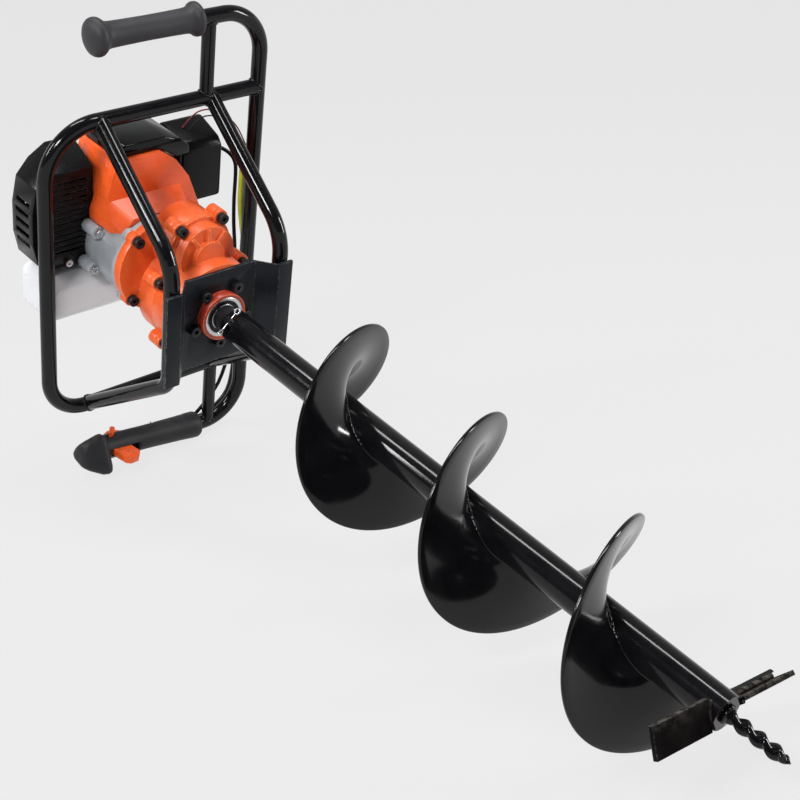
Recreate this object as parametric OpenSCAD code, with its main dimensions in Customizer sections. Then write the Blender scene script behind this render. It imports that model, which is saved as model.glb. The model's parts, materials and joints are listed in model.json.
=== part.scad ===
// One-person petrol earth auger, lying at rest on its throttle grip and its lowest flight.
// Built in a machine frame (X along the bit, Z from throttle grip to upper grip), then laid down.

/* [Frame] */
// Outside diameter of the frame tubes
tube_d = 19; // [16:0.5:22]
// Wall of the frame tubes
tube_wall = 1.5; // [1:0.1:2.5]
// Distance from the plate's front back to the plane of the handles
handle_back = 144; // [140:1:160]
// Height of the upper handle run above the bit axis
upper_run_z = 302; // [290:1:320]
// Drop of the throttle handle run below the bit axis, at the handlebar corner
lower_run_z = 291; // [285:1:300]
// Rise of the throttle handle run along its length, in degrees
lower_run_rise = 7; // [4:0.5:9]
// Sideways place of the handlebar's upright
upright_y = 148; // [145:1:160]
// Height of the guard loop's top tube
loop_top_z = 202; // [195:1:215]
// Drop of the guard loop's bottom tube
loop_bottom_z = 184; // [178:1:195]
// Sideways place of the guard loop's left tube
loop_left_y = 145; // [142:1:160]
// Bend radius of the handlebar and the loop
bend_r = 56; // [45:1:62]
// Sideways place of the left front brace
brace_left_y = 74; // [72:0.5:76]
// Sideways place of the right front brace
brace_right_y = 79; // [76:0.5:80]
// Sideways place of the upper strut
upper_strut_y = 72; // [66:1:76]
// Sideways place of the lower strut
lower_strut_y = 98; // [94:1:102]

/* [Mounting plate] */
// Thickness of the plate
plate_t = 4; // [3:0.5:5]
// Half width of the plate's main face
plate_half_w = 50; // [48:1:52]
// Height of the plate above the bit axis
plate_top_z = 57; // [52:1:60]
// Depth of the plate below the bit axis
plate_bottom_z = 66; // [62:1:70]
// How far the side flanges stand forward of the main face
flange_forward = 22; // [20:1:26]
// Bolt circle diameter of the five plate bolts
plate_bolt_pcd = 76; // [74:1:80]

/* [Gearbox] */
// Module of the output gear pair
output_module = 2; // [2]
// Teeth on the output gear
output_teeth = 54; // [54]
// Teeth on the countershaft pinion
counter_pinion_teeth = 10; // [10]
// Module of the input gear pair
input_module = 1.5; // [1.5]
// Teeth on the countershaft gear
counter_gear_teeth = 47; // [47]
// Teeth on the input pinion
input_teeth = 9; // [9]
// Wall of the gearbox castings
case_wall = 4; // [3:0.5:5]
// Outside diameter of the output bearing
bearing_od = 52; // [47:1:54]
// Diameter of the output shaft in its bearing
shaft_d = 25; // [22:0.5:26]

/* [Engine] */
// Outside radius of the clutch housing
clutch_r = 54; // [52:0.5:55]
// Outside radius of the clutch drum
drum_r = 39; // [36:0.5:42]
// Cylinder bore
cylinder_bore = 44; // [40:1:46]
// Piston stroke
stroke = 30; // [26:1:30]
// Wall of the moulded covers
cover_wall = 2.5; // [2:0.25:3]
// Wall of the fuel tank
tank_wall = 3; // [2:0.5:4]

/* [Bit] */
// Diameter that the flight drills
bit_d = 200; // [150:5:220]
// Length of flight per turn
flight_pitch = 191.6; // [170:0.1:210]
// Thickness of the flight
flight_t = 4.5; // [3:0.5:6]
// Outside diameter of the bit's tube
bit_tube_d = 38; // [36:0.5:42]
// Wall of the bit's tube
bit_tube_wall = 3; // [2.5:0.5:4]
// Length of the bit's tube
bit_tube_len = 742; // [735:1:750]
// Length of the pilot point ahead of the tube
pilot_len = 71; // [60:1:80]

/* [Grips] */
// Radius of the upper rubber grip
upper_grip_r = 14.5; // [13:0.5:16]
// Length of the upper rubber grip
upper_grip_len = 140; // [130:1:145]
// Radius of the throttle grip
throttle_grip_r = 16.5; // [15:0.5:18]

/* [Hidden] */
$fn = 48;

seat_gap = 0.1;
run_gap = 0.05;
move_gap = 0.4;
eps = 0.01;

tube_r = tube_d / 2;
handle_x = -handle_back;
low_slope = tan(lower_run_rise);
grip_right_y = 78;
grip_left_y = -108;
upper_grip_clear = 16;
upper_grip_left_y = upper_strut_y - upper_grip_clear - upper_grip_len;
upper_grip_cap = 16;
function low_run_z(y) = -lower_run_z + (upright_y - y) * low_slope;
grip_len = (grip_right_y - grip_left_y) / cos(lower_run_rise);
head_len = 40;
trigger_slot = [grip_len - head_len - 48, grip_len - head_len - 4];
tube_in_grip = trigger_slot[0] - 6;
tube_end_y = grip_right_y - tube_in_grip * cos(lower_run_rise);

// Frame routes, as corner points
handlebar_pts = [[handle_x, upper_grip_left_y + upper_grip_cap, upper_run_z],
    [handle_x, upright_y, upper_run_z],
    [handle_x, upright_y, -lower_run_z], [handle_x, tube_end_y, low_run_z(tube_end_y)]];
loop_pts = [[handle_x, upright_y, loop_top_z], [handle_x, -loop_left_y, loop_top_z],
    [handle_x, -loop_left_y, -loop_bottom_z], [handle_x, upright_y, -loop_bottom_z]];
loop_low_bend_r = bend_r - 4;
brace_x = flange_forward - plate_t - tube_r - seat_gap;
brace_knee_z = 90;
brace_foot_z = -72;
brace_foot_spread = 17;
brace_knee_r = 60;
brace_foot_r = 28;
function brace_pts(y, side) = [[handle_x, side * y, loop_top_z], [brace_x, side * y, brace_knee_z],
    [brace_x, side * y, brace_foot_z],
    [handle_x, side * (y + brace_foot_spread), -loop_bottom_z]];

// Gear train
output_pr = output_module * output_teeth / 2;
counter_pinion_pr = output_module * counter_pinion_teeth / 2;
counter_gear_pr = input_module * counter_gear_teeth / 2;
input_pr = input_module * input_teeth / 2;
counter_y = 0;
counter_z = output_pr + counter_pinion_pr;
input_dist = counter_gear_pr + input_pr;
input_dir = 224;
crank_y = counter_y + input_dist * cos(input_dir);
crank_z = counter_z + input_dist * sin(input_dir);

// Gearbox stations along the bit axis
case_front_x = -plate_t - seat_gap;
boss_front_x = 11;
boss_r = 30;
split_x = -49;
bulge_front_x = -28;
bulge_r = 37;
counter_boss_r = 20;
counter_boss_x = -22;
flange_front_x = -77;
case_back_x = -89;
chamber_r = output_pr + output_module + 2;
case_r = chamber_r + case_wall;
upper_chamber_r = counter_gear_pr + input_module + 2;
upper_case_r = upper_chamber_r + case_wall;
flange_r = 58;
bearing_len = 15;
ear_r = 9;
ear_t = 8;
bolt_r = 4;
bolt_head_r = 6.5;
bolt_head_h = 7;
ear_ring = case_r + bolt_head_r + 0.2;
top_ear_ring = upper_case_r + 3;
ears = [[ear_ring * cos(28), ear_ring * sin(28)], [ear_ring * cos(147), ear_ring * sin(147)],
    [ear_ring * cos(225), ear_ring * sin(225)], [ear_ring * cos(315), ear_ring * sin(315)],
    [counter_y + top_ear_ring * cos(55), counter_z + top_ear_ring * sin(55)],
    [counter_y + top_ear_ring * cos(131), counter_z + top_ear_ring * sin(131)]];
flange_bolt_ring = 54;
flange_lug_r = 8.5;
flange_bolts = [for (a = [130, 220]) [crank_y + flange_bolt_ring * cos(a),
    crank_z + flange_bolt_ring * sin(a)]];
plate_bolts_at = [for (k = [0:4]) plate_bolt_pcd / 2 * [cos(270 + 72 * k), sin(270 + 72 * k)]];
output_gear_x = [-47, -35];
counter_pinion_x = [-48, -34];
counter_gear_x = [-74, -62];
input_pinion_x = [-76, -60];
rear_bearing_x = [-81, -70];
counter_front_bearing_x = [-33, -24];
counter_rear_bearing_x = [-87, -79];
input_bearing_x = [-88, -78.5];
rear_bearing_r = 21;
counter_bearing_r = 13;
input_bearing_r = 14;
journal_r = 6;
rear_journal_r = 10;
shoulder_r = 16;
bit_spigot_r = bit_tube_d / 2 - bit_tube_wall - run_gap;
bit_start_x = 29;
spigot_end_x = 75;

// Engine stations along the bit axis
clutch_back_x = -144;
clutch_cavity_r = clutch_r - 5;
drum_x = [-121, -92];
drum_web = 3;
drum_wall = 2;
shoe_x = [-118, -97];
shoe_r = drum_r - drum_wall - 2.5;
crank_r = 9;
fan_back_x = -176;
case_end_x = -230;
starter_back_x = -262;
starter_r = clutch_r - 2;
starter_step = 6;
housing_boss_r = 8;
housing_boss_ring = clutch_r + 6;
housing_boss_angles = [60, 150, 197, 343];
housing_bosses = [for (a = housing_boss_angles) [crank_y + housing_boss_ring * cos(a),
    crank_z + housing_boss_ring * sin(a)]];
screw_r = 2.5;
screw_head_r = 4.5;
screw_head_h = 4;
flywheel_x = [-172, -150];
flywheel_r = clutch_cavity_r - 3;
cyl_x = -203;
cyl_fins_w = [52, 68];
cyl_base_z = 80;
cyl_top_z = 126;
fin_pitch = 6;
fin_t = 2;
piston_h = 24;
piston_top_z = cyl_top_z - 8;
web_r = 26;
case_half_w = 30;
case_floor_z = -8;

// Covers
shroud_x = [-209, -129];
shroud_top_z = 154;
shroud_pts = [[-64, 57], [-73, 110], [-60, shroud_top_z], [0, shroud_top_z], [22, 138], [41, 112],
    [57, 71], [52, 57]];
skirt_x = [-158, -98.5];
skirt_straight = 20;
skirt_back_pts = [[-79, 62], [-79, 86], [-71, 108], [32, 108], [39, 86], [34, 62]];
skirt_front_pts = [[-66, 68], [-66, 82], [-56, 93], [10, 93], [24, 82], [22, 68]];
port_z = 108;
port_r = 13;
guard_x = [-205, -159];
guard_y = [-154, -73.3];
guard_bottom_z = 12;
guard_front_z = 139;
guard_back_z = 158;
guard_slot = 2.5;
guard_slot_pitch = 7.5;
side_slot = 6;
side_slot_pitch = 13;
muffler_x = [-195, -166];
muffler_y = [-138, -86];
muffler_z = [36, 128];
filter_x = [-215, -159];
filter_y = [54, 112];
filter_z = [55, 131];
filter_back_z = 148;
filter_base_t = 5;
carb_x = [-206, -172];
carb_z = [86, 126];
carb_y0 = 12;
tank_x = [-222, -144.5];
tank_y = [-146, 52];
tank_z = [-60, 8];
tank_corner_r = 28;
cap_x = -186;
cap_z = -30;
cap_r = 20;
primer_r = 9;
pull_z = 62;
pull_x = -246;

// Bit stations
bit_end_x = bit_start_x + bit_tube_len;
bit_r = bit_d / 2;
flight_start_x = bit_start_x + 130;
flight_end_x = bit_end_x - 18;
flight_phase_x = bit_end_x - 778.97;
flight_steps = 148;
function flight_angle(x) = 360 * (x - flight_phase_x) / flight_pitch;
blade_x = bit_end_x - 7;
blade_angle = flight_angle(flight_end_x) + 180;
blade_h = 31;
blade_t = 5;
blade_rake = 56;
pin_x = 42;
pin_angle = 134;
pin_r = 4;
pin_half = bit_tube_d / 2 + 5;
pilot_r = 8;

// Lay-down: the throttle grip and the lowest flight touch the floor
flight_low_x = flight_phase_x + flight_pitch * 3.75;
grip_low_r = throttle_grip_r + 1;
grip_low_z = low_run_z(grip_right_y - 4);
lay_a = flight_low_x - handle_x;
lay_b = bit_r + grip_low_z;
lay_angle = asin(grip_low_r / norm([lay_a, lay_b])) - atan2(lay_b, lay_a);
tip_x = bit_end_x + pilot_len;
rear_low_x = cos(lay_angle) * starter_back_x + sin(lay_angle) * (crank_z - starter_r + starter_step);
front_x = cos(lay_angle) * tip_x;
floor_drop = -sin(lay_angle) * handle_x + cos(lay_angle) * grip_low_z - grip_low_r;
rest_shift = [-(front_x + rear_low_x) / 2, (loop_left_y - upright_y) / 2, -floor_drop];

// Cord routes, in the machine frame
cable_d = 5;
cable_route = [[-206.5, 41, 112], [-214, 41, 112], [-221, 45, 111], [-225, 58, 109], [-226, 80, 106],
    [-225, 102, 104], [-215, 120, 103], [-196, 130, 103], [-178, 136, 100], [-169, 139, 91],
    [-166.5, 139.5, 75], [-166, 139, 40], [-163, 138.5, 5], [-158, 139, -35], [-157, 139, -90],
    [-157, 139, -150], [-157.5, 136, -200], [-158, 124, -238], [-158, 106, -260], [-155, 92, -269],
    [-150.5, 80.7, -271.3]];
sleeve_d = 7;
sleeve_route = [[-157, 143, 118], [-157, 142, 80], [-157, 142, 40], [-157.5, 148, 0], [-157, 154, -40],
    [-157, 153, -110], [-157.5, 148, -180], [-157.5, 147, -222], [-157.5, 140, -256],
    [-157.5, 120, -276], [-157.5, 95, -284], [-157.4, 79.6, -282.8]];
wire_d = 1.8;
wire_routes = [[[-190, 72, 143.5], [-184, 90, 163], [-174, 112, 164], [-163, 132, 146], [-157, 145.2, 118.5]],
    [[-184, 76, 141.5], [-178, 94, 158], [-170, 114, 156], [-163, 128, 140], [-157, 141, 118.5]]];

frame_black = "#15171a";
plate_grey = "#2c3136";
orange = "#e8501a";
alloy = "#7c838b";
steel = "#b4b8bc";
moulded_black = "#1b1b1d";
rubber = "#2b2c2e";
grip_grey = "#33363a";

// Shared helpers
function unit(v) = v / norm(v);
module lay() {
    translate(rest_shift) rotate([0, lay_angle, 0]) children();
}
module between(p, q) {
    d = q - p;
    translate(p) rotate([0, acos(d.z / norm(d)), atan2(d.y, d.x)]) children();
}
module ring2d(r, w) {
    difference() {
        circle(r);
        circle(r - w);
    }
}
module xcyl(x0, x1, r, y = 0, z = 0) {
    translate([x0, y, z]) rotate([0, 90, 0]) cylinder(h = x1 - x0, r = r);
}
module xprism(x0, x1) {
    translate([x0, 0, 0]) rotate([90, 0, 90]) linear_extrude(x1 - x0) children();
}
module yprism(y0, y1) {
    translate([0, y1, 0]) rotate([90, 0, 0]) linear_extrude(y1 - y0) children();
}
module block(x, y, z) {
    translate([x[0], y[0], z[0]]) cube([x[1] - x[0], y[1] - y[0], z[1] - z[0]]);
}
module bolt_x(x, at, r, length, head_r, head_h) {
    translate([x, at[0], at[1]]) rotate([0, 90, 0]) {
        difference() {
            cylinder(h = head_h, r = head_r);
            translate([0, 0, head_h / 2]) cylinder(h = head_h, r = head_r / 2, $fn = 6);
        }
        translate([0, 0, -length]) cylinder(h = length + eps, r = r);
    }
}

// Outline moved inwards by d, for points that run clockwise seen from +X
function shifted_edge(p, q, d) = let(n = unit([q.y - p.y, p.x - q.x])) [p + n * d, q + n * d];
function crossing(a, b) = let(r = a[1] - a[0], s = b[1] - b[0], w = b[0] - a[0])
    a[0] + r * ((w.x * s.y - w.y * s.x) / (r.x * s.y - r.y * s.x));
function inset(pts, d) = let(n = len(pts), e = [for (i = [0:n - 1])
    shifted_edge(pts[i], pts[(i + 1) % n], d)]) [for (i = [0:n - 1]) crossing(e[(i + n - 1) % n], e[i])];

// Bent tube through corner points, each bend an arc of its own radius, joined by thin collars
collar = 1.6;
collar_step = 0.05;
function half_turn(p, i) = acos(unit(p[i - 1] - p[i]) * unit(p[i + 1] - p[i])) / 2;
function tangent_len(p, radii, i) =
    i <= 0 || i >= len(p) - 1 ? 0 : radii[i - 1] / tan(half_turn(p, i));
module bend_arc(p, i, radius) {
    d1 = unit(p[i - 1] - p[i]);
    d2 = unit(p[i + 1] - p[i]);
    half = half_turn(p, i);
    centre = p[i] + unit(d1 + d2) * radius / sin(half);
    v1 = unit(p[i] + d1 * radius / tan(half) - centre);
    v2 = unit(p[i] + d2 * radius / tan(half) - centre);
    n = unit(cross(v1, v2));
    v3 = cross(n, v1);
    multmatrix([[v1.x, v3.x, n.x, centre.x], [v1.y, v3.y, n.y, centre.y], [v1.z, v3.z, n.z, centre.z]])
        rotate_extrude(angle = 180 - 2 * half) translate([radius, 0]) children();
}
module bent_tube(p, radii, r, w) {
    for (i = [0:len(p) - 2]) {
        d = unit(p[i + 1] - p[i]);
        a = p[i] + d * tangent_len(p, radii, i);
        b = p[i + 1] - d * tangent_len(p, radii, i + 1);
        first = i == 0 ? 0 : collar / 4;
        last = i == len(p) - 2 ? 0 : collar / 4;
        between(a + d * first, b - d * last) linear_extrude(norm(b - a) - first - last) ring2d(r, w);
        if (i > 0) between(a - d * collar / 2, a + d * collar / 2)
            linear_extrude(collar) ring2d(r + collar_step, w + 2 * collar_step);
        if (i < len(p) - 2) between(b - d * collar / 2, b + d * collar / 2)
            linear_extrude(collar) ring2d(r + collar_step, w + 2 * collar_step);
    }
    for (i = [1:len(p) - 2]) bend_arc(p, i, radii[i - 1]) ring2d(r, w);
}
module solid_rod(p, q, r) {
    between(p, q) cylinder(h = norm(q - p), r = r);
}

// Smooth cord swept along hand-placed points
function spline_at(p, i, t) = let(n = len(p), a = p[max(i - 1, 0)], b = p[i], c = p[min(i + 1, n - 1)],
    d = p[min(i + 2, n - 1)])
    0.5 * (2 * b + (c - a) * t + (2 * a - 5 * b + 4 * c - d) * t * t + (3 * b - a - 3 * c + d) * t * t * t);
function spline(p, per) = concat(
    [for (i = [0:len(p) - 2]) for (k = [0:per - 1]) spline_at(p, i, k / per)], [p[len(p) - 1]]);
function heading(q, i) = unit(q[min(i + 1, len(q) - 1)] - q[max(i - 1, 0)]);
function cord_ring(q, i, r, sides) =
    let(h = heading(q, i), u = unit(cross(h, [1, 0.2, 0.1])), w = cross(h, u))
    [for (k = [0:sides - 1]) q[i] + r * (cos(360 * k / sides) * u + sin(360 * k / sides) * w)];
module cord(p, d, per, sides = 8) {
    q = spline(p, per);
    n = len(q);
    pts = [for (i = [0:n - 1]) each cord_ring(q, i, d / 2, sides)];
    skin = [for (i = [0:n - 2]) for (k = [0:sides - 1])
        let(a = i * sides + k, b = i * sides + (k + 1) % sides)
        each [[a, a + sides, b], [b, a + sides, b + sides]]];
    ends = concat([for (k = [1:sides - 2]) [0, k, k + 1]],
        [for (k = [1:sides - 2]) [(n - 1) * sides, (n - 1) * sides + k + 1, (n - 1) * sides + k]]);
    polyhedron(pts, concat(skin, ends));
}

// Frame
module top_tube_cut() {
    yprism(-200, 200) translate([handle_x, loop_top_z]) circle(tube_r + seat_gap);
}
module bottom_tube_cut() {
    yprism(-200, 200) translate([handle_x, -loop_bottom_z]) circle(tube_r + seat_gap);
}
module handlebar() {
    color(frame_black) lay() bent_tube(handlebar_pts, [bend_r, bend_r], tube_r, tube_wall);
}
module guard_loop() {
    color(frame_black) lay() difference() {
        bent_tube(loop_pts, [bend_r + 10, loop_low_bend_r], tube_r, tube_wall);
        solid_rod([handle_x, upright_y, -loop_bottom_z - 40], [handle_x, upright_y, loop_top_z + 40],
            tube_r + seat_gap);
    }
}
module front_brace(y, side) {
    color(frame_black) lay() difference() {
        bent_tube(brace_pts(y, side), [brace_knee_r, brace_foot_r], tube_r, tube_wall);
        top_tube_cut();
        bottom_tube_cut();
        if (side < 0) bend_arc(loop_pts, 2, loop_low_bend_r) circle(tube_r + seat_gap);
    }
}
module front_brace_left() {
    front_brace(brace_left_y, -1);
}
module front_brace_right() {
    front_brace(brace_right_y, 1);
}
module upper_strut() {
    color(frame_black) lay() difference() {
        between([handle_x, upper_strut_y, loop_top_z], [handle_x, upper_strut_y, upper_run_z])
            linear_extrude(upper_run_z - loop_top_z) ring2d(tube_r - 1, tube_wall);
        top_tube_cut();
        yprism(-200, 200) translate([handle_x, upper_run_z]) circle(tube_r + seat_gap);
    }
}
module lower_strut() {
    color(frame_black) lay() difference() {
        translate([handle_x, lower_strut_y, low_run_z(lower_strut_y)])
            linear_extrude(-loop_bottom_z - low_run_z(lower_strut_y)) ring2d(tube_r - 1, tube_wall);
        bottom_tube_cut();
        solid_rod([handle_x, upright_y, -lower_run_z], [handle_x, tube_end_y, low_run_z(tube_end_y)],
            tube_r + seat_gap);
        bend_arc(handlebar_pts, 2, bend_r) circle(tube_r + seat_gap);
        solid_rod([brace_x, brace_right_y, brace_foot_z],
            [handle_x, brace_right_y + brace_foot_spread, -loop_bottom_z], tube_r + seat_gap);
    }
}
flange_out_y = brace_right_y + tube_r;
flange_in_y = plate_half_w + flange_forward * 0.85;
plate_front_pts = [[0, -plate_half_w], [flange_forward, -flange_in_y], [flange_forward, -flange_out_y]];
module plate_profile() {
    mirrored = [for (i = [2:-1:0]) [plate_front_pts[i].x, -plate_front_pts[i].y]];
    front = concat(mirrored, plate_front_pts);
    back = [for (i = [5:-1:0]) [front[i].x - plate_t, front[i].y
        - (i == 1 || i == 2 ? plate_t * 0.45 : i == 3 || i == 4 ? -plate_t * 0.45 : 0)]];
    polygon(concat(front, back));
}
module mounting_plate() {
    color(plate_grey) lay() difference() {
        translate([0, 0, -plate_bottom_z]) linear_extrude(plate_top_z + plate_bottom_z) plate_profile();
        xcyl(-plate_t - 1, 1, boss_r + 0.3);
        for (b = plate_bolts_at) xcyl(-plate_t - 1, 1, bolt_r + 0.3, b[0], b[1]);
    }
}
module plate_bolts() {
    color(moulded_black) lay()
        for (b = plate_bolts_at) bolt_x(seat_gap, b, bolt_r, plate_t + 12, bolt_head_r, bolt_head_h);
}

// Grips
upper_grip_end_r = upper_grip_r + 7.5;
upper_grip_bore = upper_grip_len - upper_grip_cap + 0.5;
module upper_grip() {
    l = upper_grip_len;
    color(rubber) lay() translate([handle_x, upper_grip_left_y + l, upper_run_z]) rotate([90, 0, 0])
        difference() {
            rotate_extrude() polygon(concat([[0, 0], [upper_grip_end_r - 4, 0], [upper_grip_end_r - 2, 2],
                [upper_grip_end_r - 2, 6], [upper_grip_r + 1, 12], [upper_grip_r, 20],
                [upper_grip_r - 0.5, l / 2], [upper_grip_r + 0.5, l - 20], [upper_grip_end_r, l - 10],
                [upper_grip_end_r, l - 4]], [for (a = [15:15:75]) [(upper_grip_end_r) * cos(a),
                l - 4 + 10 * sin(a)]], [[0, l + 6]]));
            translate([0, 0, -1]) cylinder(h = upper_grip_bore + 1, r = tube_r + run_gap);
        }
}
// Throttle grip, along its own axis: local z runs from the right end to the head
module grip_place() {
    translate([handle_x, grip_right_y, low_run_z(grip_right_y)]) rotate([90 - lower_run_rise, 0, 0])
        children();
}
pivot_z = trigger_slot[1] - 7;
pivot_x = 9;
pivot_pin_r = 1.5;
pin_seat = 3;
slot_floor = 3;
slot_half = 5.5;
trigger_half = 5;
switch_z = grip_len - head_len - 10;
switch_half = 2.2;
switch_floor = 8;
switch_travel = 5;
grip_screw_z = [20, 70];
grip_screw_y = 13;
module grip_screw_hole(r, x0, x1) {
    for (z = grip_screw_z) translate([x0, grip_screw_y, z]) rotate([0, 90, 0]) cylinder(h = x1 - x0, r = r);
}
module grip_form() {
    difference() {
        union() {
            rotate_extrude() polygon([[0, 0], [throttle_grip_r, 0], [throttle_grip_r + 1.5, 3],
                [throttle_grip_r + 1.5, 10], [throttle_grip_r + 0.5, 30],
                [throttle_grip_r - 0.5, grip_len * 0.45],
                [throttle_grip_r, grip_len - head_len], [throttle_grip_r, grip_len - head_len + 10],
                [0, grip_len - head_len + 10]]);
            hull() {
                for (v = [[-14, -13, 7], [29, -14, 8], [6, 20, 7]])
                    translate([v[0], v[1], grip_len - head_len + 10]) sphere(v[2], $fn = 24);
                for (v = [[-6, -6, 11], [12, -9, 10], [3, 8, 10]])
                    translate([v[0], v[1], grip_len - 11]) sphere(v[2], $fn = 24);
            }
        }
        translate([0, 0, -1]) cylinder(h = tube_in_grip + 1.5, r = tube_r + run_gap);
        translate([slot_floor, -slot_half, trigger_slot[0]])
            cube([40, 2 * slot_half, trigger_slot[1] - trigger_slot[0]]);
        translate([-40 - slot_floor, -slot_half, trigger_slot[0]])
            cube([40, 2 * slot_half, trigger_slot[1] - trigger_slot[0]]);
        translate([-switch_half - move_gap, switch_floor - move_gap, switch_z - switch_half - move_gap])
            cube([2 * switch_half + 2 * move_gap, 40, 2 * switch_half + 2 * move_gap + switch_travel]);
        grip_screw_hole(1.6, -20, 7);
        grip_screw_hole(3.2, -20, -6);
        pivot_rods(pivot_pin_r + run_gap, slot_half + pin_seat + seat_gap);
    }
}
module throttle_grip_front() {
    color(grip_grey) lay() grip_place() intersection() {
        grip_form();
        translate([seat_gap / 2, -50, -10]) cube([50, 100, grip_len + 20]);
    }
}
module throttle_grip_rear() {
    color(grip_grey) lay() grip_place() intersection() {
        grip_form();
        translate([-50 - seat_gap / 2, -50, -10]) cube([50, 100, grip_len + 20]);
    }
}

// Trigger outlines from their pivots: away from the grip, and along it
trigger_pts = [[-3, 4], [4, 5], [12, 3], [28, -1], [32, -7], [30, -19], [23, -25], [6, -22], [-3, -8]];
lock_pts = [[4, 4], [-4, 4], [-12, -2], [-17, -10], [-16, -20], [-10, -30], [-3, -32], [4, -8]];
module lever(x, pts) {
    color(orange) lay() grip_place() translate([x, trigger_half, pivot_z]) rotate([90, 0, 0])
        linear_extrude(2 * trigger_half) difference() {
            polygon(pts);
            circle(pivot_pin_r + run_gap);
        }
}
module throttle_trigger() {
    lever(pivot_x, trigger_pts);
}
module trigger_lock() {
    lever(-pivot_x, lock_pts);
}
module pivot_rods(r, half) {
    for (x = [-pivot_x, pivot_x]) translate([x, half, pivot_z]) rotate([90, 0, 0])
        cylinder(h = 2 * half, r = r);
}
module trigger_pins() {
    color(steel) lay() grip_place() pivot_rods(pivot_pin_r, slot_half + pin_seat);
}
module stop_switch() {
    color(orange) lay() grip_place() translate([0, 0, switch_z]) {
        translate([-switch_half, switch_floor, -switch_half])
            cube([2 * switch_half, throttle_grip_r + 5 - switch_floor, 2 * switch_half]);
        translate([0, throttle_grip_r + 4, 0]) rotate([-90, 0, 0]) cylinder(h = 8, r = 3.5);
    }
}
module handle_screws() {
    color(steel) lay() grip_place() {
        grip_screw_hole(1.5, -6.5, 6.5);
        grip_screw_hole(3, -8.5, -6.1);
    }
}

// Cables along the handlebar
module throttle_cable() {
    color(moulded_black) lay() cord(cable_route, cable_d, 3);
}
module cable_sleeve() {
    color("#b9c423") lay() cord(sleeve_route, sleeve_d, 2);
}
module stop_wires() {
    color("#7a1f1c") lay() for (w = wire_routes) cord(w, wire_d, 3);
}

// Gearbox
module gear2d(teeth, m, turn) {
    pitch = 360 / teeth;
    root = m * teeth / 2 - 1.2 * m;
    tip = m * teeth / 2 + 0.8 * m;
    polygon([for (k = [0:teeth - 1]) for (f = [[-0.27, root], [-0.1, tip], [0.1, tip], [0.27, root]])
        f[1] * [cos(turn + pitch * (k + f[0])), sin(turn + pitch * (k + f[0]))]]);
}
module bored_gear(x, at, teeth, m, turn, bore) {
    translate([0, at[0], at[1]]) xprism(x[0], x[1]) difference() {
        gear2d(teeth, m, turn);
        circle(bore);
    }
}
cover_cavity_x = -12;
rib_angles = [50, 90, 130];
module gearbox_cover() {
    color(orange) lay() difference() {
        union() {
            xcyl(split_x, case_front_x, case_r);
            xcyl(split_x, split_x + 5, upper_case_r, counter_y, counter_z);
            xcyl(split_x, bulge_front_x, bulge_r, counter_y, counter_z);
            xcyl(split_x, counter_boss_x, counter_boss_r, counter_y, counter_z);
            xcyl(split_x, boss_front_x, boss_r);
            for (e = ears) xcyl(split_x, split_x + ear_t, ear_r, e[0], e[1]);
            translate([0, counter_y, counter_z]) xprism(bulge_front_x - 4, bulge_front_x + 3)
                for (a = rib_angles) rotate(a) translate([counter_boss_r - 3, -2])
                    square([bulge_r - counter_boss_r + 1, 4]);
        }
        xcyl(split_x - 1, cover_cavity_x, chamber_r);
        xcyl(split_x - 1, bulge_front_x - 5, bulge_r - case_wall, counter_y, counter_z);
        xcyl(split_x - 1, counter_front_bearing_x[1], counter_bearing_r, counter_y, counter_z);
        xcyl(cover_cavity_x - 1, boss_front_x, shoulder_r + 1);
        xcyl(boss_front_x - bearing_len, boss_front_x + 1, bearing_od / 2);
        for (b = plate_bolts_at) xcyl(cover_cavity_x - 1, 1, bolt_r + run_gap, b[0], b[1]);
        for (e = ears) xcyl(split_x - 1, split_x + ear_t + 1, bolt_r + run_gap, e[0], e[1]);
    }
}
housing_cavity_x = -69.5;
upper_cavity_x = -78.5;
rear_hub_r = rear_bearing_r + 5;
ear_depth = 12;
module gearbox_housing() {
    color(orange) lay() difference() {
        union() {
            xcyl(flange_front_x, split_x - seat_gap, case_r);
            xcyl(case_back_x, split_x - seat_gap, upper_case_r, counter_y, counter_z);
            xcyl(case_back_x, flange_front_x, flange_r, crank_y, crank_z);
            xcyl(rear_bearing_x[0] - 3, flange_front_x + 1, rear_hub_r);
            for (e = ears) xcyl(split_x - ear_depth, split_x - seat_gap, ear_r, e[0], e[1]);
            for (b = flange_bolts) xcyl(case_back_x, flange_front_x, flange_lug_r, b[0], b[1]);
        }
        xcyl(housing_cavity_x, split_x + 1, chamber_r);
        xcyl(upper_cavity_x, split_x + 1, upper_chamber_r, counter_y, counter_z);
        xcyl(rear_bearing_x[0], housing_cavity_x + 1, rear_bearing_r);
        xcyl(counter_rear_bearing_x[0], upper_cavity_x + 1, counter_bearing_r, counter_y, counter_z);
        xcyl(case_back_x - 1, housing_cavity_x + 1, input_bearing_r, crank_y, crank_z);
        for (b = flange_bolts) xcyl(case_back_x - 1, flange_front_x + 1, bolt_r + run_gap, b[0], b[1]);
        for (e = ears) xcyl(split_x - ear_depth - 1, split_x + 1, bolt_r + run_gap, e[0], e[1]);
    }
}
clutch_flange_x = -97;
module gearbox_bolts() {
    color(moulded_black) lay() {
        for (e = ears) bolt_x(split_x + ear_t + seat_gap, e, bolt_r, ear_t + 10, bolt_head_r, bolt_head_h);
        for (b = flange_bolts) bolt_x(flange_front_x + seat_gap, b, bolt_r,
            flange_front_x - clutch_flange_x - 1, bolt_head_r, bolt_head_h);
    }
}
outer_ring_w = 4.5;
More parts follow.
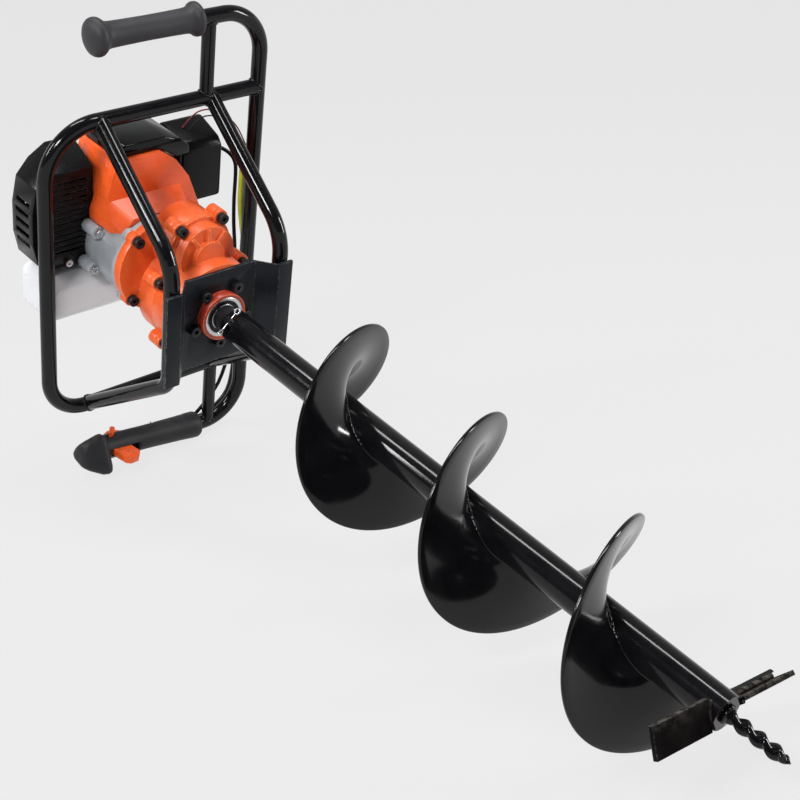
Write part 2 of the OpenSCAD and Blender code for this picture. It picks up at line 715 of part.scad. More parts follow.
module output_bearing() {
    color(steel) lay() {
        xprism(boss_front_x - bearing_len + seat_gap, boss_front_x)
            ring2d(bearing_od / 2 - run_gap, outer_ring_w);
        xprism(boss_front_x - bearing_len + 1, boss_front_x - 1) difference() {
            circle(bearing_od / 2 - outer_ring_w - 2 * run_gap);
            circle(shaft_d / 2 + run_gap);
        }
    }
}
module bush(x, at, outer, inner) {
    translate([0, at[0], at[1]]) xprism(x[0] + seat_gap, x[1]) difference() {
        circle(outer - run_gap);
        circle(inner + run_gap);
    }
}
counter_at = [counter_y, counter_z];
crank_at = [crank_y, crank_z];
module shaft_bearings() {
    color(steel) lay() {
        bush(rear_bearing_x, [0, 0], rear_bearing_r, rear_journal_r);
        bush(counter_front_bearing_x, counter_at, counter_bearing_r, journal_r);
        bush(counter_rear_bearing_x, counter_at, counter_bearing_r, journal_r);
        bush(input_bearing_x, crank_at, input_bearing_r, journal_r);
    }
}
module pin_hole() {
    translate([pin_x, 0, 0]) rotate([pin_angle - 90, 0, 0]) translate([0, 0, -60])
        cylinder(h = 120, r = pin_r + run_gap);
}
module output_shaft() {
    color(steel) lay() difference() {
        union() {
            xcyl(rear_bearing_x[0] + 0.5, boss_front_x, rear_journal_r);
            xcyl(housing_cavity_x, boss_front_x + 1, shaft_d / 2);
            xcyl(output_gear_x[1] + seat_gap, boss_front_x - bearing_len, shoulder_r);
            xcyl(boss_front_x + 0.5, spigot_end_x, bit_spigot_r);
        }
        pin_hole();
    }
}
module output_gear() {
    color(steel) lay() bored_gear(output_gear_x, [0, 0], output_teeth, output_module, 90,
        shaft_d / 2 + run_gap);
}
module countershaft() {
    color(steel) lay() {
        xcyl(counter_rear_bearing_x[0] + 0.5, counter_front_bearing_x[1] - 0.5, journal_r,
            counter_y, counter_z);
        translate([0, counter_y, counter_z]) xprism(counter_pinion_x[0], counter_pinion_x[1])
            gear2d(counter_pinion_teeth, output_module, 270 + 180 / counter_pinion_teeth);
    }
}
module countershaft_gear() {
    color(steel) lay() bored_gear(counter_gear_x, counter_at, counter_gear_teeth, input_module, input_dir,
        journal_r + run_gap);
}
module clutch_drum() {
    color(steel) lay() translate([0, crank_y, crank_z]) {
        xprism(input_pinion_x[0], input_pinion_x[1])
            gear2d(input_teeth, input_module, input_dir + 180 + 180 / input_teeth);
        xcyl(drum_x[1] - drum_web, input_pinion_x[0] + 1, journal_r);
        xcyl(drum_x[1] - drum_web, drum_x[1], drum_r);
        xprism(drum_x[0], drum_x[1]) ring2d(drum_r, drum_wall);
    }
}

// Clutch housing and engine
boss_front = -134;
module clutch_housing() {
    color(alloy) lay() difference() {
        union() {
            xcyl(clutch_flange_x, case_back_x - seat_gap, flange_r - 1, crank_y, crank_z);
            xcyl(clutch_back_x, clutch_flange_x, clutch_r, crank_y, crank_z);
            for (b = flange_bolts) xcyl(clutch_flange_x, case_back_x - seat_gap, flange_lug_r, b[0], b[1]);
            for (b = housing_bosses) xcyl(clutch_back_x, boss_front, housing_boss_r, b[0], b[1]);
        }
        xcyl(clutch_back_x + 6, case_back_x + 1, clutch_cavity_r, crank_y, crank_z);
        xcyl(clutch_back_x - 1, clutch_back_x + 7, crank_r + 12, crank_y, crank_z);
        for (b = flange_bolts) xcyl(clutch_flange_x - 1, case_back_x + 1, bolt_r + run_gap, b[0], b[1]);
        for (b = housing_bosses) xcyl(clutch_back_x - 1, boss_front + 1, screw_r + run_gap, b[0], b[1]);
    }
}
module clutch_shoes() {
    color("#5a4a3c") lay() translate([0, crank_y, crank_z]) xprism(shoe_x[0], shoe_x[1]) difference() {
        circle(shoe_r);
        circle(crank_r + run_gap);
        translate([-3, -shoe_r - 1]) square([6, 2 * shoe_r + 2]);
    }
}
module clutch_bolts() {
    color(steel) lay() for (b = housing_bosses)
        bolt_x(boss_front + seat_gap, b, screw_r, boss_front - clutch_back_x + 10, screw_head_r + 0.5,
            screw_head_h + 1);
}
fan_ring_x = [fan_back_x, clutch_back_x - seat_gap];
module crankcase() {
    color(alloy) lay() difference() {
        union() {
            block([case_end_x, fan_back_x + 1], [crank_y - case_half_w, crank_y + case_half_w],
                [case_floor_z, cyl_base_z - seat_gap]);
            xcyl(fan_ring_x[0], fan_ring_x[1], clutch_r, crank_y, crank_z);
            for (b = housing_bosses) xcyl(clutch_back_x - 14, fan_ring_x[1], housing_boss_r, b[0], b[1]);
        }
        xcyl(fan_ring_x[0] + 3, clutch_back_x + 1, clutch_cavity_r, crank_y, crank_z);
        xcyl(cyl_x - 18, cyl_x + 18, web_r + 2, crank_y, crank_z);
        xcyl(case_end_x - 1, fan_back_x + 4, crank_r + run_gap, crank_y, crank_z);
        translate([cyl_x, crank_y, crank_z]) cylinder(h = 100, r = cylinder_bore / 2 + 0.5);
        for (b = housing_bosses) xcyl(clutch_back_x - 15, clutch_back_x, screw_r + run_gap, b[0], b[1]);
    }
}
port_x = -184;
exhaust_stub_y = muffler_y[1] + seat_gap;
module cylinder_block() {
    translate([cyl_x, crank_y, cyl_base_z]) cylinder(h = cyl_top_z - cyl_base_z, r = cylinder_bore / 2 + 4.5);
    for (z = [cyl_base_z + fin_pitch:fin_pitch:cyl_top_z - fin_t])
        block([cyl_x - cyl_fins_w[0] / 2, cyl_x + cyl_fins_w[0] / 2],
            [crank_y - cyl_fins_w[1] / 2, crank_y + cyl_fins_w[1] / 2], [z, z + fin_t]);
    translate([port_x, crank_y, port_z]) rotate([90, 0, 0]) cylinder(h = crank_y - exhaust_stub_y, r = 11);
    translate([port_x, carb_y0 - seat_gap, port_z]) rotate([90, 0, 0])
        cylinder(h = carb_y0 - crank_y, r = 11);
}
module cylinder_barrel() {
    color(alloy) lay() difference() {
        cylinder_block();
        translate([cyl_x, crank_y, cyl_base_z - 1])
            cylinder(h = piston_top_z + 3 - cyl_base_z, r = cylinder_bore / 2);
        translate([cyl_x, crank_y, piston_top_z]) cylinder(h = 20, r = 5 + run_gap);
    }
}
module crankshaft() {
    color(steel) lay() translate([0, crank_y, crank_z]) {
        xcyl(case_end_x + 2, cyl_x - 4, crank_r - run_gap / 2);
        xcyl(cyl_x + 4, shoe_x[1], crank_r - run_gap / 2);
        xcyl(cyl_x - 14, cyl_x - 4, web_r);
        xcyl(cyl_x + 4, cyl_x + 14, web_r);
        xcyl(cyl_x - 5, cyl_x + 5, 8, 0, stroke / 2);
    }
}
module piston() {
    color(steel) lay() translate([cyl_x, crank_y, piston_top_z - piston_h]) difference() {
        cylinder(h = piston_h, r = cylinder_bore / 2 - run_gap);
        translate([0, 0, -1]) cylinder(h = piston_h - 5, r = cylinder_bore / 2 - 4);
    }
}
fan_blades = 12;
module flywheel() {
    color(alloy) lay() translate([0, crank_y, crank_z]) difference() {
        union() {
            xcyl(flywheel_x[0], flywheel_x[0] + 6, flywheel_r);
            xcyl(flywheel_x[0], flywheel_x[1], 16);
            for (k = [0:fan_blades - 1]) rotate([360 * k / fan_blades, 0, 0])
                block([flywheel_x[0] + 5, flywheel_x[1] - 4], [-1.5, 1.5], [24, flywheel_r - 1]);
        }
        xcyl(flywheel_x[0] - 1, flywheel_x[1] + 1, crank_r + run_gap);
    }
}
module skirt_form(d) {
    hull() {
        xprism(skirt_x[0] - d / 5, skirt_x[0] + skirt_straight) polygon(inset(skirt_back_pts, d));
        xprism(skirt_x[1] - d - 2, skirt_x[1] - d) polygon(inset(skirt_front_pts, d));
    }
}
module shroud() {
    color(orange) lay() difference() {
        union() {
            xprism(shroud_x[0], shroud_x[1]) polygon(shroud_pts);
            skirt_form(0);
        }
        xprism(shroud_x[0] - 1, shroud_x[1] - cover_wall) polygon(inset(shroud_pts, cover_wall));
        skirt_form(cover_wall);
        block([shroud_x[0] - 1, shroud_x[1] - cover_wall], [-62, 50], [56, 60]);
        xcyl(fan_back_x - 1, skirt_x[1] + 1, clutch_r + move_gap, crank_y, crank_z);
        for (b = housing_bosses) xcyl(clutch_back_x - 15, shroud_x[1] + 1, housing_boss_r + 1, b[0], b[1]);
        xcyl(shroud_x[1], skirt_x[1] + 1, housing_boss_r + 1, housing_bosses[1][0], housing_bosses[1][1]);
        block([shroud_x[0] - 1, carb_x[1] + 2], [10, 60], [carb_z[0] - 2, carb_z[1] + 2]);
        block([shroud_x[0] - 1, filter_x[1] + move_gap], [filter_y[0] - filter_base_t - move_gap, 80],
            [filter_z[0] - 1, filter_back_z]);
        translate([port_x, crank_y, port_z]) rotate([90, 0, 0]) cylinder(h = 60, r = port_r);
    }
}
top_cover_pts = [[-57, 0], [-54, 9], [-46, 15], [8, 15], [30, 8], [43, -3], [44, -14], [24, -14], [2, 0]];
module top_cover() {
    color(moulded_black) lay() translate([0, 0, shroud_top_z + seat_gap])
        xprism(shroud_x[0] + 4, shroud_x[1] - 4) polygon(top_cover_pts);
}
eyelet_y = -81;
module starter_housing() {
    color(moulded_black) lay() difference() {
        union() {
            xcyl(starter_back_x + 4, case_end_x - seat_gap, starter_r, crank_y, crank_z);
            xcyl(starter_back_x, starter_back_x + 5, starter_r - starter_step, crank_y, crank_z);
            block([pull_x - 9, pull_x + 9], [eyelet_y, crank_y - 20], [pull_z - 8, pull_z + 8]);
        }
        xcyl(starter_back_x + 6, case_end_x + 1, starter_r - cover_wall, crank_y, crank_z);
        for (k = [0:11]) translate([0, crank_y, crank_z]) rotate([30 * k, 0, 0])
            block([starter_back_x - 1, starter_back_x + 7], [-2.5, 2.5], [16, 38]);
        translate([pull_x, crank_y, pull_z]) rotate([90, 0, 0]) cylinder(h = 80, r = 2.4);
    }
}
handle_len = 34;
module starter_handle() {
    color(moulded_black) lay() difference() {
        union() {
            xcyl(pull_x - handle_len / 2, pull_x + handle_len / 2, 7.5, eyelet_y - 15, pull_z);
            translate([pull_x, eyelet_y - move_gap, pull_z]) rotate([90, 0, 0])
                cylinder(h = 14, r1 = 5, r2 = 7);
        }
        translate([pull_x, eyelet_y + 1, pull_z]) rotate([90, 0, 0]) cylinder(h = 15, r = 2.2);
    }
}
module starter_rope() {
    color("#2a2a2a") lay() translate([pull_x, eyelet_y + 6, pull_z]) rotate([90, 0, 0])
        cylinder(h = 19, r = 2);
}
module muffler() {
    color("#6a5f55") lay() difference() {
        block(muffler_x, muffler_y, muffler_z);
        translate([port_x + 3, muffler_y[1] + 1, port_z]) rotate([90, 0, 0]) cylinder(h = 12, r = 7);
    }
}
guard_pts = [[guard_x[0], guard_bottom_z], [guard_x[0], guard_back_z], [guard_x[1], guard_front_z],
    [guard_x[1], guard_bottom_z]];
guard_screws = [[-108, 20], [-134, 20]];
guard_side_pts = [[guard_y[1], guard_bottom_z], [guard_y[0] + 20, guard_bottom_z],
    [guard_y[0] + 6, guard_bottom_z + 14], [guard_y[0], guard_bottom_z + 42], [guard_y[0], guard_front_z - 46],
    [guard_y[0] + 6, guard_front_z - 14], [guard_y[0] + 22, guard_front_z + 5],
    [guard_y[0] + 44, guard_back_z], [guard_y[1], guard_back_z]];
front_slots = [for (z = [34:guard_slot_pitch:guard_front_z - 14]) z];
side_slots = [for (z = [46:side_slot_pitch:guard_front_z - 36]) z];
module guard_form(d) {
    intersection() {
        yprism(guard_y[0] + d, guard_y[1] - d) polygon(inset(guard_pts, d));
        xprism(guard_x[0] + d, guard_x[1] - d) polygon(inset(guard_side_pts, d));
    }
}
module muffler_guard() {
    color(moulded_black) lay() difference() {
        guard_form(0);
        guard_form(cover_wall);
        for (z = front_slots) block([guard_x[1] - 4, guard_x[1] + 1], [guard_y[0] + 16, guard_y[1] - 8],
            [z, z + guard_slot]);
        for (z = side_slots) {
            block([guard_x[0] + 8, guard_x[1] - 8], [guard_y[0] - 1, guard_y[0] + 4], [z, z + side_slot]);
            block([guard_x[0] - 1, guard_x[0] + 4], [guard_y[0] + 16, guard_y[1] - 14], [z, z + side_slot]);
        }
        translate([port_x, guard_y[1] + 1, port_z]) rotate([90, 0, 0]) cylinder(h = 5, r = port_r);
        xcyl(fan_back_x - 1, guard_x[1] + 1, clutch_r + move_gap, crank_y, crank_z);
        for (b = guard_screws) xcyl(guard_x[1] - 4, guard_x[1] + 1, screw_r + run_gap, b[0], b[1]);
    }
}
filter_screw = [(filter_x[0] + filter_x[1]) / 2, 84];
module engine_screws() {
    color(steel) lay() {
        for (b = guard_screws) bolt_x(guard_x[1] + seat_gap, b, screw_r, 6, screw_head_r, screw_head_h);
        translate([filter_screw[0], filter_y[1] + seat_gap, filter_screw[1]]) rotate([0, 0, 90])
            bolt_x(0, [0, 0], screw_r, 6, screw_head_r, screw_head_h);
    }
}
primer_at = [30, 98];
primer_depth = 6;
primer_out = 5;
module carburettor() {
    color(alloy) lay() difference() {
        block(carb_x, [carb_y0, filter_y[0] - filter_base_t - seat_gap], carb_z);
        translate([port_x, carb_y0 - 1, port_z]) rotate([-90, 0, 0]) cylinder(h = 60, r = 8);
        xcyl(carb_x[0] - 1, carb_x[0] + primer_depth, primer_r + move_gap, primer_at[0], primer_at[1]);
    }
}
filter_pts = [[filter_x[0], filter_z[0]], [filter_x[0], filter_back_z - 6], [filter_x[0] + 8, filter_back_z],
    [filter_x[1] - 8, filter_z[1] + 4], [filter_x[1], filter_z[1] - 6], [filter_x[1], filter_z[0]]];
module air_filter_base() {
    color(moulded_black) lay() difference() {
        yprism(filter_y[0] - filter_base_t, filter_y[0] - seat_gap) polygon(inset(filter_pts, 2));
        translate([port_x, 40, port_z]) rotate([-90, 0, 0]) cylinder(h = 30, r = 8);
    }
}
module air_filter_element() {
    color("#6d6a4a") lay() block([filter_x[0] + 10, filter_x[1] - 10],
        [filter_y[0] + seat_gap, filter_y[1] - 14], [filter_z[0] + 10, filter_z[1] - 10]);
}
module air_filter_cover() {
    color(moulded_black) lay() difference() {
        yprism(filter_y[0], filter_y[1]) polygon(filter_pts);
        yprism(filter_y[0] - 1, filter_y[1] - cover_wall) polygon(inset(filter_pts, cover_wall));
        translate([filter_screw[0], filter_y[1] - 5, filter_screw[1]]) rotate([-90, 0, 0])
            cylinder(h = 6, r = screw_r + run_gap);
    }
}
choke_at = [filter_y[0] - 4.5, 120];
choke_x = filter_x[0] + 2 - move_gap;
choke_r = 4;
choke_len = 17;
module choke_lever() {
    color(steel) lay() translate([0, choke_at[0], choke_at[1]]) {
        xcyl(choke_x - 3, choke_x, choke_r);
        block([choke_x - 3, choke_x], [-2.5, 2.5], [0, choke_len]);
        xcyl(choke_x - 9, choke_x, 3, 0, choke_len);
    }
}
module primer_bulb() {
    color("#c9cfd2") lay() translate([carb_x[0] - primer_out, primer_at[0], primer_at[1]])
        rotate([0, -90, 0]) {
            difference() {
                sphere(primer_r);
                translate([-20, -20, -40]) cube([40, 40, 40]);
            }
            translate([0, 0, -primer_out - 1.5]) cylinder(h = primer_out + 2, r = primer_r - 0.5);
        }
}
module rounded(a, b, r) {
    translate([a[0] + r, b[0]]) square([a[1] - a[0] - 2 * r, b[1] - b[0]]);
    translate([a[0], b[0] + r]) square([a[1] - a[0], b[1] - b[0] - 2 * r]);
    for (x = [a[0] + r, a[1] - r], y = [b[0] + r, b[1] - r]) translate([x, y]) circle(r);
}
module tank_form(d) {
    x = tank_x + [d, -d];
    y = tank_y + [d, -d];
    z = tank_z + [d, -d];
    r = tank_corner_r - d;
    intersection() {
        xprism(x[0], x[1]) rounded(y, z, r);
        yprism(y[0], y[1]) rounded(x, z, r);
        translate([0, 0, z[0]]) linear_extrude(z[1] - z[0]) rounded(x, y, r);
    }
}
saddle_r = clutch_r + 0.3;
module fuel_tank() {
    color("#e6e8e6") lay() difference() {
        union() {
            tank_form(0);
            translate([cap_x, tank_y[1] - 8, cap_z]) rotate([-90, 0, 0]) cylinder(h = 16, r = cap_r - 4);
        }
        difference() {
            tank_form(tank_wall);
            xcyl(tank_x[0] - 1, tank_x[1] + 1, saddle_r + tank_wall, crank_y, crank_z);
        }
        translate([cap_x, tank_y[1] - 9, cap_z]) rotate([-90, 0, 0]) cylinder(h = 20, r = cap_r - 7);
        xcyl(tank_x[0] - 1, tank_x[1] + 1, saddle_r, crank_y, crank_z);
    }
}
module fuel_cap() {
    color(moulded_black) lay() translate([cap_x, tank_y[1] + move_gap, cap_z]) rotate([-90, 0, 0])
        difference() {
            union() {
                cylinder(h = 14, r = cap_r);
                translate([-cap_r + 2, -3, 13]) cube([2 * cap_r - 4, 6, 7]);
            }
            translate([0, 0, -1]) cylinder(h = 9.5, r = cap_r - 4 + run_gap);
        }
}
module spark_plug() {
    color("#d8d8d4") lay() translate([cyl_x, crank_y, piston_top_z + 3]) {
        cylinder(h = cyl_top_z - piston_top_z, r = 5);
        translate([0, 0, cyl_top_z - piston_top_z - 3 + seat_gap]) cylinder(h = 6, r = 10, $fn = 6);
        translate([0, 0, cyl_top_z - piston_top_z]) cylinder(h = 16, r = 6);
        translate([0, 0, cyl_top_z - piston_top_z + 10]) cylinder(h = 11, r = 8.5);
    }
}

// Bit
module auger_tube() {
    color(frame_black) lay() difference() {
        xcyl(bit_start_x, bit_end_x, bit_tube_d / 2);
        xcyl(bit_start_x - 1, bit_end_x - 6, bit_tube_d / 2 - bit_tube_wall);
        pin_hole();
    }
}
flight_in_r = bit_tube_d / 2 + 0.25;
function flight_row(i) = let(x = flight_start_x + (flight_end_x - flight_start_x) * i / flight_steps,
    a = flight_angle(x), c = [cos(a), sin(a)])
    [for (v = [[-1, flight_in_r], [1, flight_in_r], [1, bit_r], [-1, bit_r]])
    [x + v[0] * flight_t / 2, v[1] * c[0], v[1] * c[1]]];
module auger_flight() {
    n = flight_steps + 1;
    pts = [for (i = [0:flight_steps]) each flight_row(i)];
    skin = [for (i = [0:flight_steps - 1]) for (k = [0:3]) let(a = 4 * i + k, b = 4 * i + (k + 1) % 4)
        each [[a, b, a + 4], [b, b + 4, a + 4]]];
    ends = [[0, 2, 1], [0, 3, 2], [4 * n - 4, 4 * n - 3, 4 * n - 2], [4 * n - 4, 4 * n - 2, 4 * n - 1]];
    color(frame_black) lay() polyhedron(pts, concat(skin, ends));
}
module blade() {
    translate([blade_x, 0, 0]) rotate([0, -blade_rake, 0])
        translate([-blade_h / 2, flight_in_r, -blade_t / 2]) cube([blade_h, bit_r - flight_in_r, blade_t]);
}
module cutter_blades() {
    color(frame_black) lay() for (a = [blade_angle - 180, blade_angle]) rotate([a, 0, 0]) blade();
}
pilot_base = 4;
pilot_cone = 8;
pilot_twist = -720;
module pilot_point() {
    twist_len = pilot_len - pilot_base - pilot_cone;
    color(frame_black) lay() translate([bit_end_x + seat_gap, 0, 0]) rotate([0, 90, 0]) {
        cylinder(h = pilot_base, r = pilot_r + 2);
        translate([0, 0, pilot_base - 1]) linear_extrude(twist_len + 1, twist = pilot_twist, slices = 30)
            for (x = [-3.5, 3.5]) translate([x, 0]) circle(4.2, $fn = 12);
        translate([0, 0, pilot_base + twist_len - 0.5])
            cylinder(h = pilot_cone + 0.4, r1 = pilot_r - 1, r2 = 0.8);
    }
}
module drive_pin() {
    color("#3a3d40") lay() translate([pin_x, 0, 0]) rotate([pin_angle - 90, 0, 0]) difference() {
        union() {
            translate([0, 0, -bit_tube_d / 2 - 1])
                cylinder(h = bit_tube_d / 2 + 1 + pin_half + 3, r = pin_r);
            translate([0, 0, -bit_tube_d / 2 - 5]) cylinder(h = 4.5, r = pin_r + 2.5);
        }
        translate([0, 40, pin_half - 1]) rotate([90, 0, 0]) cylinder(h = 80, r = 1.3);
    }
}
split_r = 1.1;
split_eye_r = 3.4;
module split_pin() {
    color(steel) lay() translate([pin_x, 0, 0]) rotate([pin_angle - 90, 0, 0])
        translate([0, 0, pin_half - 1]) rotate([90, 0, 0]) {
            translate([0, 0, -11]) cylinder(h = 22, r = split_r);
            translate([0, 0, -11 - split_eye_r + 0.3]) rotate([90, 0, 0]) rotate_extrude()
                translate([split_eye_r, 0]) circle(split_r);
            for (s = [-1, 1]) translate([0, 0, 10.5]) rotate([0, s * 24, 0]) cylinder(h = 7, r = 0.9);
        }
}

handlebar();
guard_loop();
front_brace_left();
front_brace_right();
upper_strut();
lower_strut();
mounting_plate();
plate_bolts();
upper_grip();
throttle_grip_front();
throttle_grip_rear();
throttle_trigger();
trigger_lock();
trigger_pins();
stop_switch();
handle_screws();
throttle_cable();
cable_sleeve();
stop_wires();
gearbox_cover();
gearbox_housing();
gearbox_bolts();
output_bearing();
shaft_bearings();
output_shaft();
output_gear();
countershaft();
countershaft_gear();
clutch_drum();
clutch_housing();
clutch_shoes();
clutch_bolts();
crankcase();
cylinder_barrel();  // cylinder
crankshaft();
piston();
flywheel();
shroud();
top_cover();
starter_housing();
starter_handle();
starter_rope();
muffler();
muffler_guard();
engine_screws();
carburettor();
air_filter_base();
air_filter_element();
air_filter_cover();
choke_lever();
primer_bulb();
fuel_tank();
fuel_cap();
spark_plug();
auger_tube();
auger_flight();
cutter_blades();
pilot_point();
drive_pin();
split_pin();
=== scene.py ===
import json
from math import cos, pi, radians, sin, sqrt
import bmesh
import bpy
from mathutils import Matrix, Vector

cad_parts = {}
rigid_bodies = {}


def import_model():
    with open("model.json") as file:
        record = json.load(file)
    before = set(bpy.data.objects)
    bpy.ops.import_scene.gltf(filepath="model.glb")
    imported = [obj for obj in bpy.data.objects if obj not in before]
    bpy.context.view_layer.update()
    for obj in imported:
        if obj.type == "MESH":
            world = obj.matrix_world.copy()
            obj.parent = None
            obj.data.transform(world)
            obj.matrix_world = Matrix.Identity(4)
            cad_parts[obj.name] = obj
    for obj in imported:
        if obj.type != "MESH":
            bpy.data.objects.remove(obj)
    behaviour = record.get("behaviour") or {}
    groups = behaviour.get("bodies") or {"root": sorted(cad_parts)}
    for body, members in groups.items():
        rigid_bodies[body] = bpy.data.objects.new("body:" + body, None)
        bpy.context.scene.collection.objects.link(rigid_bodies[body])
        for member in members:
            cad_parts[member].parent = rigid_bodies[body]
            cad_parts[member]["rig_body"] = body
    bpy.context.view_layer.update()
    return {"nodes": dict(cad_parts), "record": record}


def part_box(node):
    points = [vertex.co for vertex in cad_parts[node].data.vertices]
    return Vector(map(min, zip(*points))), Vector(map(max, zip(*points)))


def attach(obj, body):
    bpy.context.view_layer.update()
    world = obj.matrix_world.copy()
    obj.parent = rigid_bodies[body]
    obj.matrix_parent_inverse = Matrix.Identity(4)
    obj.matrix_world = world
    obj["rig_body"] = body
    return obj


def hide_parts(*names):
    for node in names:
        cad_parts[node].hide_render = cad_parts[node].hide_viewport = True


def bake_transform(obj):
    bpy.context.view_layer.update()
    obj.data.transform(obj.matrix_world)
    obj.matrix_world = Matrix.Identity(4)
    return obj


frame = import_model()
cadNodes = frame["nodes"]
scene = bpy.context.scene

# Machine frame: X along the bit, Z towards the upper grip, millimetres
millimetre = 0.001
laySpec = {"place": (-0.281105, -0.0015, 0.259206), "tilt": 13.1656}
layMatrix = Matrix.Translation(laySpec["place"]) @ Matrix.Rotation(radians(laySpec["tilt"]), 4, "Y")
machineMatrix = layMatrix @ Matrix.Scale(millimetre, 4)

# Throttle grip's frame: Z along the grip to its nose
gripFrameSpec = {"place": (-144, 78, -282.405), "turn": 83}
gripMatrix = (machineMatrix @ Matrix.Translation(gripFrameSpec["place"])
              @ Matrix.Rotation(radians(gripFrameSpec["turn"]), 4, "X"))


def machinePoint(x, y, z):
    return layMatrix @ (Vector((x, y, z)) * millimetre)


# Camera at the photograph's view
cameraSpec = {
    "place": (1.1005, -0.9035, 0.8973),
    "right": (0.66106, 0.749, -0.03653),
    "up": (-0.29441, 0.304, 0.90587),
    "back": (0.69012, -0.588, 0.42139),
    "lens": 66.69,
    "sensor": 36,
}
cameraData = bpy.data.cameras.new("camera")
cameraData.lens = cameraSpec["lens"]
cameraData.sensor_width = cameraSpec["sensor"]
camera = bpy.data.objects.new("camera", cameraData)
turn = Matrix((cameraSpec["right"], cameraSpec["up"], cameraSpec["back"])).transposed()
camera.matrix_world = Matrix.Translation(cameraSpec["place"]) @ turn.to_4x4()
scene.collection.objects.link(camera)
scene.camera = camera
print("camera placed")

# Mesh helpers
mergeGap = 1e-6
nodeMergeGap = 2e-6
flatTurn = radians(0.5)


def finishPiece(name, bm, body, place=None, sharp=35):
    if place is not None:
        bmesh.ops.transform(bm, matrix=place, verts=bm.verts)
    bmesh.ops.remove_doubles(bm, verts=bm.verts, dist=mergeGap)
    bmesh.ops.recalc_face_normals(bm, faces=bm.faces)
    mesh = bpy.data.meshes.new(name)
    bm.to_mesh(mesh)
    bm.free()
    mesh.shade_smooth()
    mesh.set_sharp_from_angle(angle=radians(sharp))
    piece = bpy.data.objects.new(name, mesh)
    scene.collection.objects.link(piece)
    if body:
        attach(piece, body)
    return piece


def roundEdges(bm, edges, width, segments=2):
    bmesh.ops.bevel(bm, geom=edges, offset=width, offset_type="OFFSET", segments=segments,
                    profile=0.5, affect="EDGES", clamp_overlap=True, material=-1)


def joinFlat(bm):
    bmesh.ops.dissolve_limit(bm, angle_limit=flatTurn, verts=bm.verts, edges=bm.edges)


# A smooth curve through points of the machine frame, in metres
def smoothRoute(points, per):
    last = len(points) - 1
    knots = [Vector(p) for p in points]
    route = []
    for i in range(last):
        a, b, c, d = (knots[max(0, min(last, i + k))] for k in (-1, 0, 1, 2))
        for k in range(per):
            t = k / per
            route.append(0.5 * (2 * b + (c - a) * t + (2 * a - 5 * b + 4 * c - d) * t ** 2
                                + (3 * b - a - 3 * c + d) * t ** 3))
    route.append(knots[last])
    return [machinePoint(*p) for p in route]


# A tube drawn along a route: one ring of edges, extruded step by step and turned with the route
def sweptTube(bm, route, radius, sides, swell=None, section=None, twist=0.0):
    runLayer = bm.verts.layers.float.get("run") or bm.verts.layers.float.new("run")
    heading = (route[1] - route[0]).normalized()
    side = heading.orthogonal().normalized()
    ring = bmesh.ops.create_circle(bm, cap_ends=False, segments=sides, radius=1)["verts"]
    edges = list(dict.fromkeys(e for v in ring for e in v.link_edges))
    first, run = edges, 0.0
    section = section or [(v.co.x, v.co.y) for v in ring]
    for i, point in enumerate(route):
        ahead = (route[min(i + 1, len(route) - 1)] - route[max(i - 1, 0)]).normalized()
        side = heading.rotation_difference(ahead) @ side
        heading = ahead
        side = Matrix.Rotation(twist, 3, heading) @ side
        up = heading.cross(side)
        size = radius * (swell(i) if swell else 1)
        if i > 0:
            run += (point - route[i - 1]).length
            made = bmesh.ops.extrude_edge_only(bm, edges=edges)["geom"]
            follow = {tuple(g.co): g for g in made if isinstance(g, bmesh.types.BMVert)}
            ring = [follow[tuple(v.co)] for v in ring]
            edges = [g for g in made if isinstance(g, bmesh.types.BMEdge) and g.is_boundary]
        for v, (a, b) in zip(ring, section):
            v.co = point + size * (side * a + up * b)
            v[runLayer] = run
    bmesh.ops.holes_fill(bm, edges=first + edges, sides=sides)


# A profile of (along X, radius) points spun round X
def spinProfile(bm, profile, steps, close=True):
    made = [bm.verts.new((x, r, 0)) for x, r in profile]
    pairs = list(zip(made, made[1:])) + ([(made[-1], made[0])] if close else [])
    edges = [bm.edges.new(pair) for pair in pairs]
    bmesh.ops.spin(bm, geom=made + edges, cent=(0, 0, 0), axis=(1, 0, 0), angle=2 * pi,
                   steps=steps, use_merge=True)


# A lobed outline for a twisted bar or rope
def lobedSection(spec):
    outline = []
    for k in range(spec["sides"]):
        a = 2 * pi * k / spec["sides"]
        reach = spec["core"] + spec["lobe"] * abs(cos(spec["lobes"] * a / 2)) ** spec["power"]
        outline.append((reach * cos(a), reach * sin(a)))
    return outline


# The swell of a weld bead along its run
def beadSwell(least, more, beat):
    return lambda i: least + more * abs(sin(i * beat))


